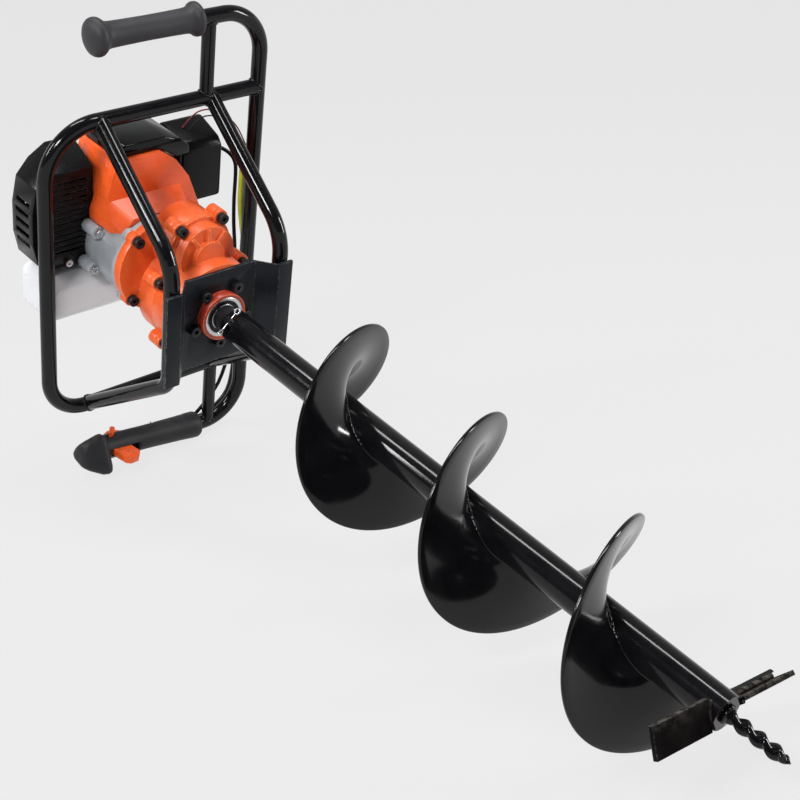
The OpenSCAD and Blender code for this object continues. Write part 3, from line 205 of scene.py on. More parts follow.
# Cords: they lie where their CAD solids are
cordSides = 12
cordSpecs = {
    "cable_cord": {
        "node": "throttle_cable", "diameter": 0.005, "per": 3, "stiffness": "stiff",
        "slot": "black_plastic",
        "points": [(-206.5, 41, 112), (-214, 41, 112), (-221, 45, 111), (-225, 58, 109),
                   (-226, 80, 106), (-225, 102, 104), (-215, 120, 103), (-196, 130, 103),
                   (-178, 136, 100), (-169, 139, 91), (-166.5, 139.5, 75), (-166, 139, 40),
                   (-163, 138.5, 5), (-158, 139, -35), (-157, 139, -90), (-157, 139, -150),
                   (-157.5, 136, -200), (-158, 124, -238), (-158, 106, -260),
                   (-155, 92, -269), (-150.5, 80.7, -271.3)],
    },
    "sleeve_cord": {
        "node": "cable_sleeve", "diameter": 0.007, "per": 3, "stiffness": "medium",
        "slot": "sleeve",
        "points": [(-157, 143, 118), (-157, 142, 80), (-157, 142, 40), (-157.5, 148, 0),
                   (-157, 154, -40), (-157, 153, -110), (-157.5, 148, -180), (-157.5, 147, -222),
                   (-157.5, 140, -256), (-157.5, 120, -276), (-157.5, 95, -284),
                   (-157.4, 79.6, -282.8)],
    },
    "wire_red_cord": {
        "node": "stop_wires", "diameter": 0.0018, "per": 6, "stiffness": "medium",
        "slot": "wire_red",
        "points": [(-190, 72, 143.5), (-184, 90, 163), (-174, 112, 164), (-163, 132, 146),
                   (-157, 145.2, 118.5)],
    },
    "wire_black_cord": {
        "node": "stop_wires", "diameter": 0.0018, "per": 6, "stiffness": "medium",
        "slot": "black_plastic",
        "points": [(-184, 76, 141.5), (-178, 94, 158), (-170, 114, 156), (-163, 128, 140),
                   (-157, 141, 118.5)],
    },
}
cords = {}
for name, spec in cordSpecs.items():
    route = smoothRoute(spec["points"], spec["per"])
    bm = bmesh.new()
    sweptTube(bm, route, spec["diameter"] / 2, cordSides)
    cord = finishPiece(name, bm, "machine", sharp=60)
    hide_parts(spec["node"])
    cords[name] = cord
print("cords laid")


# A CAD node's mesh, merged and with rounded edges, takes the node's place
def openNode(node):
    bm = bmesh.new()
    bm.from_mesh(cadNodes[node].data)
    bmesh.ops.remove_doubles(bm, verts=bm.verts, dist=nodeMergeGap)
    joinFlat(bm)
    return bm


def edgesOver(bm, degrees):
    return [e for e in bm.edges if e.is_manifold and e.calc_face_angle() > radians(degrees)]


def replaceNode(node, bm, place=None):
    piece = finishPiece(node + "_dressed", bm, cadNodes[node]["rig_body"], place)
    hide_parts(node)
    return piece


# Widths of the rounded edges
dressTurn = 28
dressings = {
    "mounting_plate": 0.0006, "plate_bolts": 0.0008, "gearbox_cover": 0.0012,
    "gearbox_housing": 0.0012, "gearbox_bolts": 0.0008, "clutch_housing": 0.0010,
    "clutch_bolts": 0.0006, "crankcase": 0.0008, "shroud": 0.0008, "top_cover": 0.0020,
    "starter_housing": 0.0012, "starter_handle": 0.0015, "muffler_guard": 0.0008,
    "engine_screws": 0.0005, "choke_lever": 0.0004, "fuel_cap": 0.0015,
    "throttle_trigger": 0.0010, "trigger_lock": 0.0010, "stop_switch": 0.0006,
    "cutter_blades": 0.0005, "carburettor": 0.0008, "muffler": 0.0030, "spark_plug": 0.0008,
    "primer_bulb": 0.0006, "handle_screws": 0.0003, "drive_pin": 0.0006,
    "air_filter_base": 0.0006,
}
dressed = {}
for node, width in dressings.items():
    bm = openNode(node)
    roundEdges(bm, edgesOver(bm, dressTurn), width)
    dressed[node] = replaceNode(node, bm)

# Deep mouldings: wide rounds on the outside, fine ones at rims and holes
mouldingSpecs = {
    "air_filter_cover": {"round": 0.007, "steps": 5, "shortest": 0.008, "open": -0.5, "turn": 12,
                         "away": 0.02, "fine": 0.0006, "fineTurn": 40},
    "fuel_tank": {"round": 0.006, "steps": 5, "shortest": 0.002, "open": -2.0, "turn": 40,
                  "away": 0.02, "fine": 0.0006, "fineTurn": 40},
}


def dressMoulding(node, spec):
    bm = openNode(node)
    low, high = (Vector(corner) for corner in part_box(node))
    centre = (low + high) / 2
    outside = {f for f in bm.faces if f.normal.y > spec["open"]
               and (f.calc_center_median() - centre).dot(f.normal) > spec["away"]}
    wide = [e for e in bm.edges if all(f in outside for f in e.link_faces)
            and e.calc_length() > spec["shortest"]
            and e.calc_face_angle_signed() > radians(spec["turn"])]
    roundEdges(bm, wide, spec["round"], spec["steps"])
    roundEdges(bm, edgesOver(bm, spec["fineTurn"]), spec["fine"])
    return replaceNode(node, bm)


for node, spec in mouldingSpecs.items():
    dressed[node] = dressMoulding(node, spec)

# Throttle grip halves: the nose smoothed full, the parting line kept in its plane
gripHalfSpec = {"nodes": ("throttle_grip_front", "throttle_grip_rear"), "merge": 0.0005,
                "nose": 149, "longest": 3, "splits": 4, "passes": 12, "plane": 0.2, "edge": 0.6}


def dressGripHalf(node, spec):
    bm = bmesh.new()
    bm.from_mesh(cadNodes[node].data)
    bmesh.ops.transform(bm, matrix=gripMatrix.inverted(), verts=bm.verts)
    bmesh.ops.remove_doubles(bm, verts=bm.verts, dist=spec["merge"])

    def inNose(part):
        return all(v.co.z > spec["nose"] for v in part.verts)

    def inPlane(part):
        return all(abs(v.co.x) < spec["plane"] for v in part.verts)

    def isInner(edge):
        return all(inPlane(f) for f in edge.link_faces)

    for k in range(spec["splits"]):
        wide = [e for e in bm.edges if inNose(e) and not isInner(e)
                and e.calc_length() > spec["longest"]]
        bmesh.ops.subdivide_edges(bm, edges=wide, cuts=1)
        bmesh.ops.triangulate(bm, faces=[f for f in bm.faces if len(f.verts) > 3])
    nose = [v for v in bm.verts if v.co.z > spec["nose"]]
    seam = [v for v in nose if abs(v.co.x) < spec["plane"]]
    rest = [v for v in nose if abs(v.co.x) >= spec["plane"]]
    around = {v: [e.other_vert(v) for e in v.link_edges if not isInner(e)] for v in seam}
    for k in range(spec["passes"]):
        bmesh.ops.smooth_vert(bm, verts=rest, factor=0.5, use_axis_x=True, use_axis_y=True,
                              use_axis_z=True)
        aims = {v: sum((w.co for w in near), Vector()) / len(near) for v, near in around.items()}
        for v, aim in aims.items():
            v.co.yz = (v.co.yz + aim.yz) / 2
    joinFlat(bm)
    rim = [e for e in bm.edges if inPlane(e) and not isInner(e) and inNose(e)]
    roundEdges(bm, rim, spec["edge"])
    # two faces on the same corners are a fold
    sameCorners = {}
    for face in bm.faces:
        sameCorners.setdefault(frozenset(face.verts), []).append(face)
    folds = [face for faces in sameCorners.values() if len(faces) > 1 for face in faces]
    bmesh.ops.delete(bm, geom=folds, context="FACES")
    return replaceNode(node, bm, gripMatrix)


for node in gripHalfSpec["nodes"]:
    dressed[node] = dressGripHalf(node, gripHalfSpec)
print("nodes dressed")


# Shader helpers: an input that is a socket is linked, any other is a value
def addNode(tree, kind, inputs=None, **settings):
    node = tree.nodes.new("ShaderNode" + kind)
    for key, value in settings.items():
        setattr(node, key, value)
    for key, value in (inputs or {}).items():
        if isinstance(value, bpy.types.NodeSocket):
            tree.links.new(value, node.inputs[key])
        else:
            node.inputs[key].default_value = value
    return node


def addMath(tree, operation, first, second):
    return addNode(tree, "Math", {0: first, 1: second}, operation=operation).outputs[0]


def addDot(tree, first, second):
    inputs = {0: first, 1: second}
    return addNode(tree, "VectorMath", inputs, operation="DOT_PRODUCT").outputs["Value"]


def addRange(tree, value, low, high, toLow=0.0, toHigh=1.0):
    inputs = {0: value, 1: low, 2: high, 3: toLow, 4: toHigh}
    return addNode(tree, "MapRange", inputs).outputs[0]


# The colours of a Mix node are at sockets 6 and 7, its mixed colour at 2
def addMix(tree, share, first, second):
    return addNode(tree, "Mix", {0: share, 6: first, 7: second}, data_type="RGBA").outputs[2]


def addPlace(tree):
    return addNode(tree, "TexCoord").outputs["Object"]


def addNoise(tree, scale, **inputs):
    inputs = {"Vector": addPlace(tree), "Scale": scale, **inputs}
    return addNode(tree, "TexNoise", inputs).outputs[0]


# Shared shader effects: each group puts out one varying value or colour
def newGroup(name, inputs, outputs):
    group = bpy.data.node_groups.new(name, "ShaderNodeTree")
    for way, sockets in (("INPUT", inputs), ("OUTPUT", outputs)):
        for label, kind in sockets.items():
            group.interface.new_socket(name=label, in_out=way, socket_type="NodeSocket" + kind)
    given = group.nodes.new("NodeGroupInput").outputs
    result = group.nodes.new("NodeGroupOutput").inputs
    return group, given, result


# Slow drift between two tones of one colour
toneSpec = {"detail": 5.0, "spread": (0.3, 0.7)}


def makeToneDrift(spec):
    group, given, result = newGroup(
        "toneDrift", {"Deep": "Color", "Light": "Color", "Scale": "Float"}, {"Colour": "Color"})
    noise = addNoise(group, given["Scale"], Detail=spec["detail"])
    share = addRange(group, noise, *spec["spread"])
    group.links.new(addMix(group, share, given["Deep"], given["Light"]), result["Colour"])
    return group


# Patches of smoother and rougher surface
sheenSpec = {"detail": 7.0, "roughness": 0.65, "spread": (0.32, 0.68)}


def makeSheenDrift(spec):
    group, given, result = newGroup(
        "sheenDrift", {"Smooth": "Float", "Rough": "Float", "Scale": "Float"}, {"Value": "Float"})
    noise = addNoise(group, given["Scale"], Detail=spec["detail"], Roughness=spec["roughness"])
    value = addRange(group, noise, *spec["spread"], given["Smooth"], given["Rough"])
    group.links.new(value, result["Value"])
    return group


# Grain of a casting or moulding: fine noise with small pits
grainSpec = {"detail": 4.0}


def makeFineGrain(spec):
    group, given, result = newGroup(
        "fineGrain", {"Scale": "Float", "Pits": "Float"}, {"Height": "Float"})
    noise = addNoise(group, given["Scale"], Detail=spec["detail"])
    cells = addNode(group, "TexVoronoi", {"Vector": addPlace(group), "Scale": given["Scale"]})
    pits = addMath(group, "MULTIPLY", cells.outputs["Distance"], given["Pits"])
    group.links.new(addMath(group, "ADD", noise, pits), result["Height"])
    return group


# Rubbed edges: where the rounded normal leaves the true one, broken up by noise
rubSpec = {"samples": 4, "edge": (0.998, 0.93), "scale": 240.0, "detail": 4.0,
           "spread": (0.38, 0.62)}


def makeEdgeRub(spec):
    group, given, result = newGroup(
        "edgeRub", {"Radius": "Float", "Amount": "Float"}, {"Mask": "Float"})
    bevel = addNode(group, "Bevel", {"Radius": given["Radius"]}, samples=spec["samples"])
    normal = addNode(group, "NewGeometry").outputs["Normal"]
    edge = addRange(group, addDot(group, bevel.outputs[0], normal), *spec["edge"])
    noise = addNoise(group, spec["scale"], Detail=spec["detail"])
    both = addMath(group, "MULTIPLY", edge, addRange(group, noise, *spec["spread"]))
    group.links.new(addMath(group, "MULTIPLY", both, given["Amount"]), result["Mask"])
    return group


# Thin dust on what faces up
dustSpec = {"facing": (0.35, 1.0), "scale": 90.0, "detail": 8.0, "roughness": 0.7,
            "spread": (0.42, 0.75)}


def makeDustFall(spec):
    group, given, result = newGroup("dustFall", {"Amount": "Float"}, {"Mask": "Float"})
    normal = addNode(group, "NewGeometry").outputs["Normal"]
    upward = addNode(group, "SeparateXYZ", {0: normal}).outputs["Z"]
    facing = addRange(group, upward, *spec["facing"])
    noise = addNoise(group, spec["scale"], Detail=spec["detail"], Roughness=spec["roughness"])
    both = addMath(group, "MULTIPLY", facing, addRange(group, noise, *spec["spread"]))
    group.links.new(addMath(group, "MULTIPLY", both, given["Amount"]), result["Mask"])
    return group


effects = {"tone": makeToneDrift(toneSpec), "sheen": makeSheenDrift(sheenSpec),
           "grain": makeFineGrain(grainSpec), "rub": makeEdgeRub(rubSpec),
           "dust": makeDustFall(dustSpec)}


def addEffect(tree, effect, values):
    return addNode(tree, "Group", values, node_tree=effects[effect]).outputs[0]


# What a finish has where it says nothing else
plainLook = {"toneScale": 30.0, "sheenScale": 60.0, "grainScale": 700.0, "pits": 0.0, "bump": 0.1,
             "depth": 0.0004, "rubRadius": 0.0012, "rubAmount": 0.7, "dust": 0.05, "set": {}}
dustColour = (0.42, 0.39, 0.34, 1)


def makeFinish(name, special):
    look = {**plainLook, **special}
    material = bpy.data.materials.new(name)
    material.use_nodes = True
    tree = material.node_tree
    shader = tree.nodes["Principled BSDF"]

    def addTones(tones):
        return addEffect(tree, "tone", {"Deep": (*tones["deep"], 1), "Light": (*tones["light"], 1),
                                        "Scale": look["toneScale"]})

    colour = addTones(look)
    if "later" in look:
        later = look["later"]
        run = addNode(tree, "Attribute", attribute_name="run").outputs["Fac"]
        past = addRange(tree, run, later["from"], later["from"] + later["fade"])
        colour = addMix(tree, past, colour, addTones(later))
    if "rub" in look:
        mask = addEffect(tree, "rub", {"Radius": look["rubRadius"], "Amount": look["rubAmount"]})
        colour = addMix(tree, mask, colour, (*look["rub"], 1))
    dust = addEffect(tree, "dust", {"Amount": look["dust"]})
    tree.links.new(addMix(tree, dust, colour, dustColour), shader.inputs["Base Color"])
    smooth, rough = look["rough"]
    sheen = addEffect(tree, "sheen", {"Smooth": smooth, "Rough": rough,
                                      "Scale": look["sheenScale"]})
    tree.links.new(sheen, shader.inputs["Roughness"])
    height = addEffect(tree, "grain", {"Scale": look["grainScale"], "Pits": look["pits"]})
    bump = addNode(tree, "Bump", {"Strength": look["bump"], "Distance": look["depth"],
                                  "Height": height})
    tree.links.new(bump.outputs[0], shader.inputs["Normal"])
    for key, value in look["set"].items():
        shader.inputs[key].default_value = value
    return material


finishes = {
    "frame_black": {
        "deep": (0.0035, 0.0034, 0.0042), "light": (0.0055, 0.0052, 0.0062), "rough": (0.09, 0.15),
        "rub": (0.05, 0.05, 0.055), "rubAmount": 0.4, "grainScale": 300.0, "bump": 0.035,
        "depth": 0.0002, "dust": 0.012, "set": {"Specular IOR Level": 0.28}},
    "plate_grey": {
        "deep": (0.008, 0.010, 0.013), "light": (0.013, 0.015, 0.019), "rough": (0.26, 0.38),
        "rub": (0.42, 0.43, 0.44), "rubAmount": 0.55, "grainScale": 900.0, "bump": 0.10,
        "dust": 0.012, "set": {"Specular IOR Level": 0.16}},
    "orange_paint": {
        "deep": (0.74, 0.098, 0.018), "light": (0.86, 0.140, 0.030), "rough": (0.30, 0.44),
        "rub": (0.95, 0.42, 0.16), "rubAmount": 0.8, "rubRadius": 0.0018, "grainScale": 800.0,
        "pits": 0.5, "bump": 0.20, "dust": 0.02,
        "set": {"Specular IOR Level": 0.35, "Coat Weight": 0.12, "Coat Roughness": 0.2}},
    "orange_plastic": {
        "deep": (0.80, 0.095, 0.016), "light": (0.88, 0.120, 0.022), "rough": (0.24, 0.34),
        "rub": (0.95, 0.36, 0.14), "rubAmount": 0.5, "grainScale": 1200.0, "bump": 0.06,
        "dust": 0.02,
        "set": {"Specular IOR Level": 0.35, "Coat Weight": 0.10, "Coat Roughness": 0.15}},
    "alloy": {
        "deep": (0.34, 0.36, 0.39), "light": (0.46, 0.48, 0.51), "rough": (0.36, 0.52),
        "rub": (0.7, 0.7, 0.72), "grainScale": 1000.0, "pits": 0.6, "bump": 0.25,
        "set": {"Metallic": 0.2}},
    "steel": {
        "deep": (0.52, 0.53, 0.55), "light": (0.66, 0.67, 0.69), "rough": (0.20, 0.34),
        "grainScale": 1500.0, "bump": 0.08, "set": {"Metallic": 1.0}},
    "black_steel": {
        "deep": (0.010, 0.010, 0.012), "light": (0.020, 0.020, 0.023), "rough": (0.26, 0.40),
        "rub": (0.22, 0.22, 0.23), "rubAmount": 0.6, "dust": 0.02,
        "set": {"Metallic": 0.3, "Specular IOR Level": 0.3}},
    "black_plastic": {
        "deep": (0.0030, 0.0030, 0.0035), "light": (0.0055, 0.0054, 0.006), "rough": (0.20, 0.30),
        "rub": (0.09, 0.09, 0.095), "rubAmount": 0.5, "grainScale": 1400.0, "pits": 0.4,
        "bump": 0.08, "dust": 0.008, "set": {"Specular IOR Level": 0.18}},
    "gloss_black": {
        "deep": (0.0030, 0.0030, 0.0035), "light": (0.005, 0.005, 0.0055), "rough": (0.09, 0.16),
        "rub": (0.08, 0.08, 0.09), "bump": 0.04, "dust": 0.008,
        "set": {"Specular IOR Level": 0.22}},
    "rubber": {
        "deep": (0.017, 0.016, 0.019), "light": (0.025, 0.023, 0.027), "rough": (0.46, 0.60),
        "grainScale": 1100.0, "pits": 0.8, "bump": 0.2, "set": {"Specular IOR Level": 0.4}},
    "grip_plastic": {
        "deep": (0.011, 0.0112, 0.013), "light": (0.017, 0.017, 0.0195), "rough": (0.44, 0.56),
        "grainScale": 1300.0, "pits": 0.7, "bump": 0.18, "set": {"Specular IOR Level": 0.3}},
    "blade_steel": {
        "deep": (0.006, 0.005, 0.005), "light": (0.013, 0.011, 0.011), "rough": (0.60, 0.75),
        "rub": (0.22, 0.21, 0.21), "rubAmount": 0.8, "grainScale": 500.0, "bump": 0.2,
        "dust": 0.4, "set": {"Specular IOR Level": 0.0}},
    "ring_red": {
        "deep": (0.34, 0.030, 0.018), "light": (0.46, 0.042, 0.024), "rough": (0.26, 0.38),
        "bump": 0.06, "dust": 0.02},
    "sleeve": {
        "deep": (0.52, 0.62, 0.03), "light": (0.68, 0.76, 0.06), "rough": (0.30, 0.42),
        "later": {"from": 0.18, "fade": 0.004, "deep": (0.006, 0.006, 0.007),
                  "light": (0.011, 0.011, 0.012)}},
    "wire_red": {
        "deep": (0.22, 0.012, 0.014), "light": (0.30, 0.022, 0.024), "rough": (0.34, 0.46),
        "bump": 0.05},
    "tank_white": {
        "deep": (0.70, 0.71, 0.73), "light": (0.78, 0.79, 0.81), "rough": (0.32, 0.44),
        "toneScale": 9.0, "grainScale": 600.0, "bump": 0.06, "dust": 0.02},
    "filter_foam": {
        "deep": (0.10, 0.09, 0.045), "light": (0.18, 0.16, 0.08), "rough": (0.85, 0.95),
        "grainScale": 900.0, "pits": 1.5, "bump": 0.8, "depth": 0.001},
    "bulb": {
        "deep": (0.55, 0.57, 0.57), "light": (0.66, 0.68, 0.68), "rough": (0.22, 0.32),
        "bump": 0.04, "set": {"Transmission Weight": 0.3}},
    "rope": {
        "deep": (0.014, 0.014, 0.015), "light": (0.030, 0.030, 0.032), "rough": (0.7, 0.85),
        "grainScale": 1600.0, "bump": 0.5},
    "exhaust": {
        "deep": (0.14, 0.115, 0.09), "light": (0.24, 0.20, 0.16), "rough": (0.42, 0.6),
        "grainScale": 500.0, "bump": 0.2, "set": {"Metallic": 0.7}},
    "lining": {
        "deep": (0.07, 0.055, 0.04), "light": (0.11, 0.088, 0.065), "rough": (0.7, 0.85),
        "bump": 0.4},
}
materials = {name: makeFinish(name, look) for name, look in finishes.items()}


def paintPiece(piece, finish):
    piece.data.materials.clear()
    piece.data.materials.append(materials[finish])


for entry in frame["record"]["subparts"]:
    node, finish = entry["node"], entry["material_slot"]
    for holder in cadNodes[node].material_slots:
        holder.material = materials[finish]
    if node in dressed:
        paintPiece(dressed[node], finish)
paintPiece(dressed["cutter_blades"], "blade_steel")
for name, spec in cordSpecs.items():
    paintPiece(cords[name], spec["slot"])
print("materials set")

# Starter rope: three strands, drawn out between the housing and its handle
ropeSpec = {"x": -246, "z": 62, "inside": -75, "handle": -94, "margin": 0.5, "radius": 1.35,
            "sides": 24, "core": 1, "lobe": 0.45, "lobes": 3, "power": 0.8, "twist": 1500,
            "steps": 96}


def makeRope(spec):
    bm = bmesh.new()
    steps, inside, handle = spec["steps"], spec["inside"], spec["handle"]
    route = [Vector((spec["x"], inside + (handle - inside) * k / steps, spec["z"]))
             for k in range(steps + 1)]
    sweptTube(bm, route, spec["radius"], spec["sides"], section=lobedSection(spec),
              twist=radians(spec["twist"]) / steps)
    piece = finishPiece("starter_rope_strands", bm, None, machineMatrix, sharp=60)
    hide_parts("starter_rope")
    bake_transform(piece)
    return piece


# Filter foam: a soft block with full corners
foamSpec = {"low": (-205, 54.1, 65), "high": (-169, 98, 121), "round": 7, "roundSteps": 5,
            "longest": 6, "cuts": 6, "crown": 0.5, "fill": 0.9}


def makeFoam(spec):
    bm = bmesh.new()
    low, high = Vector(spec["low"]), Vector(spec["high"])
    centre, half = (low + high) / 2, (high - low) / 2
    bmesh.ops.create_cube(bm, size=2)
    bmesh.ops.scale(bm, vec=half - Vector((spec["crown"],) * 3), verts=bm.verts)
    roundEdges(bm, bm.edges[:], spec["round"], spec["roundSteps"])
    wide = [e for e in bm.edges if e.calc_length() > spec["longest"]]
    bmesh.ops.subdivide_edges(bm, edges=wide, cuts=spec["cuts"], use_grid_fill=True)
    for v in bm.verts:
        reach = [abs(v.co[k]) / half[k] for k in range(3)]
        v.co += spec["crown"] * (1 - min(1, sorted(reach)[1] ** 2)) * v.normal
    place = machineMatrix @ Matrix.Translation(centre)
    piece = finishPiece("filter_foam_block", bm, "machine", place, sharp=70)
    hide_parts("air_filter_element")
    return piece


# Ribs on the side of the trigger, round its pivot, full in the middle and fine at the ends
triggerRibSpec = {"pivot": (9, 0, 136.397), "side": 5.0, "radii": (15, 20, 25),
                  "angles": (-8, -46), "steps": 14, "thick": 0.8, "sides": 10, "least": 0.35,
                  "power": 0.4}


def makeTriggerRibs(spec):
    bm = bmesh.new()
    x0, y0, z0 = spec["pivot"]
    first, last = (radians(a) for a in spec["angles"])
    steps, least = spec["steps"], spec["least"]
    turns = [first + (last - first) * k / steps for k in range(steps + 1)]

    def swell(i):
        return least + (1 - least) * sin(pi * i / steps) ** spec["power"]

    for radius in spec["radii"]:
        route = [Vector((x0 + radius * cos(a), y0 + spec["side"], z0 + radius * sin(a)))
                 for a in turns]
        sweptTube(bm, route, spec["thick"], spec["sides"], swell)
    return finishPiece("trigger_ribs", bm, "trigger", gripMatrix, sharp=60)


# Bit flight: one rounded section spun along the bit, its leading corner cut round
flightSpec = {"start": 159, "end": 753, "phase": -7.97, "pitch": 191.6, "inner": 19.25,
              "outer": 100, "thick": 4.5, "steps": 372, "rings": 9, "edge": 1.6,
              "rim": [(0.35, 0.6), (1.1, 0.08)], "corner": 34}


def flightAngle(spec, x):
    return 2 * pi * (x - spec["phase"]) / spec["pitch"]


def makeFlight(spec):
    bm = bmesh.new()
    half, inner, outer, corner = spec["thick"] / 2, spec["inner"], spec["outer"], spec["corner"]
    reach = outer - spec["edge"] - inner
    front = [(half, inner + reach * k / spec["rings"]) for k in range(spec["rings"] + 1)]
    front += [(half - thin, outer - short) for thin, short in spec["rim"]]
    back = [(-x, r) for x, r in reversed(front)]
    section = [bm.verts.new((spec["start"] + x, r, 0)) for x, r in front + back]
    edges = [bm.edges.new(pair) for pair in zip(section, section[1:] + section[:1])]
    lead = Matrix.Rotation(flightAngle(spec, spec["start"]), 3, "X")
    bmesh.ops.rotate(bm, cent=(0, 0, 0), matrix=lead, verts=section)
    travel = spec["end"] - spec["start"]
    bmesh.ops.spin(bm, geom=section + edges, cent=(0, 0, 0), axis=(1, 0, 0),
                   angle=2 * pi * travel / spec["pitch"], dvec=(travel / spec["steps"], 0, 0),
                   steps=spec["steps"])
    bmesh.ops.holes_fill(bm, edges=[e for e in bm.edges if e.is_boundary], sides=0)
    for v in bm.verts:
        radius = sqrt(v.co.y ** 2 + v.co.z ** 2)
        along = 2 * pi * outer * max(0, v.co.x - spec["start"]) / spec["pitch"]
        if along < corner:
            top = outer - corner + sqrt(corner ** 2 - (corner - along) ** 2)
            scaled = inner + (radius - inner) * (top - inner) / (outer - inner)
            v.co.y, v.co.z = v.co.y * scaled / radius, v.co.z * scaled / radius
    piece = finishPiece("auger_flight_sheet", bm, "auger", machineMatrix, sharp=40)
    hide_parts("auger_flight")
    return piece


# Weld beads along both sides of the flight's root
flightWeldSpec = {"margin": 2, "lift": 0.6, "radius": 19.3, "size": 1.7, "sides": 8,
                  "points": 460, "ripple": 0.12, "beat": 1.9}


def makeFlightWeld(spec, flight):
    bm = bmesh.new()
    start = flight["start"] + spec["margin"]
    travel = flight["end"] - flight["start"] - 2 * spec["margin"]

    def swell(i):
        return 1 + spec["ripple"] * sin(i * spec["beat"])

    for side in (-1, 1):
        route = []
        beside = side * (flight["thick"] / 2 + spec["lift"])
        for k in range(spec["points"]):
            x = start + travel * k / (spec["points"] - 1)
            a = flightAngle(flight, x)
            route.append(Vector((x + beside, spec["radius"] * cos(a), spec["radius"] * sin(a))))
        sweptTube(bm, route, spec["size"], spec["sides"], swell)
    return finishPiece("flight_weld", bm, "auger", machineMatrix, sharp=60)


# Blade welds: beads behind the blade on the flight's end, and beads at both blades' roots
bladeWeldSpec = {
    "x": 764, "rake": 56,
    "fill": {"runs": (-5.5, -11), "behind": 4.7, "inner": 20.5, "outer": 93, "size": 3.3,
             "sides": 10, "steps": 60, "swell": (0.9, 0.16, 0.9)},
    "root": {"reach": 13, "radius": 20, "beside": 2.9, "size": 1.7, "sides": 8, "steps": 24,
             "swell": (0.85, 0.2, 1.3)},
}


def makeBladeWeld(spec, flight):
    bm = bmesh.new()
    fill, root, base = spec["fill"], spec["root"], Vector((spec["x"], 0, 0))
    end, rake = flightAngle(flight, flight["end"]), radians(spec["rake"])
    for turned in (0, pi):
        out = Vector((0, cos(end + turned), sin(end + turned)))
        ahead = Vector((0, -out.z, out.y))
        rise = Vector((cos(rake), 0, 0)) + ahead * sin(rake)
        face = Vector((sin(rake), 0, 0)) - ahead * cos(rake)
        # only the first blade sits on the flight's end
        for run in fill["runs"] if turned == 0 else ():
            width = fill["outer"] - fill["inner"]
            route = [base + rise * run - face * fill["behind"]
                     + out * (fill["inner"] + width * k / fill["steps"])
                     for k in range(fill["steps"] + 1)]
            sweptTube(bm, route, fill["size"], fill["sides"], beadSwell(*fill["swell"]))
        for side in (-1, 1):
            route = []
            for k in range(root["steps"] + 1):
                point = (rise * root["reach"] * (2 * k / root["steps"] - 1)
                         + face * side * root["beside"])
                across = point.dot(ahead)
                route.append(base + point + out * sqrt(root["radius"] ** 2 - across ** 2))
            sweptTube(bm, route, root["size"], root["sides"], beadSwell(*root["swell"]))
    return finishPiece("blade_weld", bm, "auger", machineMatrix, sharp=60)


# Pilot: a two-lobed bar twisted along its length to a point, on a collar
pilotSpec = {"base": 771.1, "collar": 4, "collarRadius": 10, "chamfer": 0.8, "length": 71,
             "sink": 1, "cone": 8, "tip": 0.12, "twist": 720, "steps": 110, "sides": 28,
             "core": 3.3, "lobe": 4.4, "lobes": 2, "power": 1.6}


def makePilot(spec):
    bm = bmesh.new()
    collar, radius, chamfer = spec["collar"], spec["collarRadius"], spec["chamfer"]
    profile = [(0, 0), (0, radius - chamfer), (chamfer, radius), (collar - chamfer, radius),
               (collar, radius - chamfer), (collar, 0)]
    spinProfile(bm, profile, steps=40, close=False)
    start, end = collar - spec["sink"], spec["length"] - spec["sink"]
    steps = spec["steps"]
    route = [Vector((start + (end - start) * k / steps, 0, 0)) for k in range(steps + 1)]
    taper = spec["cone"] / (end - start)

    def narrow(i):
        left = 1 - i / steps
        return 1.0 if left > taper else max(spec["tip"], left / taper)

    sweptTube(bm, route, 1, spec["sides"], narrow, lobedSection(spec),
              radians(spec["twist"]) / steps)
    place = machineMatrix @ Matrix.Translation((spec["base"], 0, 0))
    piece = finishPiece("pilot_screw", bm, "auger", place, sharp=50)
    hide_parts("pilot_point")
    return piece


# Upper grip: rubber with a flanged inner end and a domed outer end
upperGripSpec = {
    "place": (-144, 56, 302),
    "profile": [(124, 0), (124, 9.6), (0, 9.6), (0, 16.5), (0.5, 18.6), (2, 19.8), (5, 20),
                (7, 19.4), (9, 17.8), (11.5, 16), (15, 15.1), (20, 14.6), (40, 14.2), (70, 14.0),
                (100, 14.4), (118, 14.9), (123, 15.8), (126, 17.6), (128.5, 19.8), (131, 21.4),
                (133.5, 22), (136, 21.9), (138.5, 21.1), (141, 19.2), (143.2, 15.6),
                (144.8, 10.5), (145.7, 5), (146, 0)],
}


def makeUpperGrip(spec):
    bm = bmesh.new()
    spinProfile(bm, spec["profile"], steps=72, close=False)
    place = machineMatrix @ Matrix.Translation(spec["place"]) @ Matrix.Rotation(-pi / 2, 4, "Z")
    piece = finishPiece("upper_grip_rubber", bm, "machine", place, sharp=50)
    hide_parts("upper_grip")
    return piece


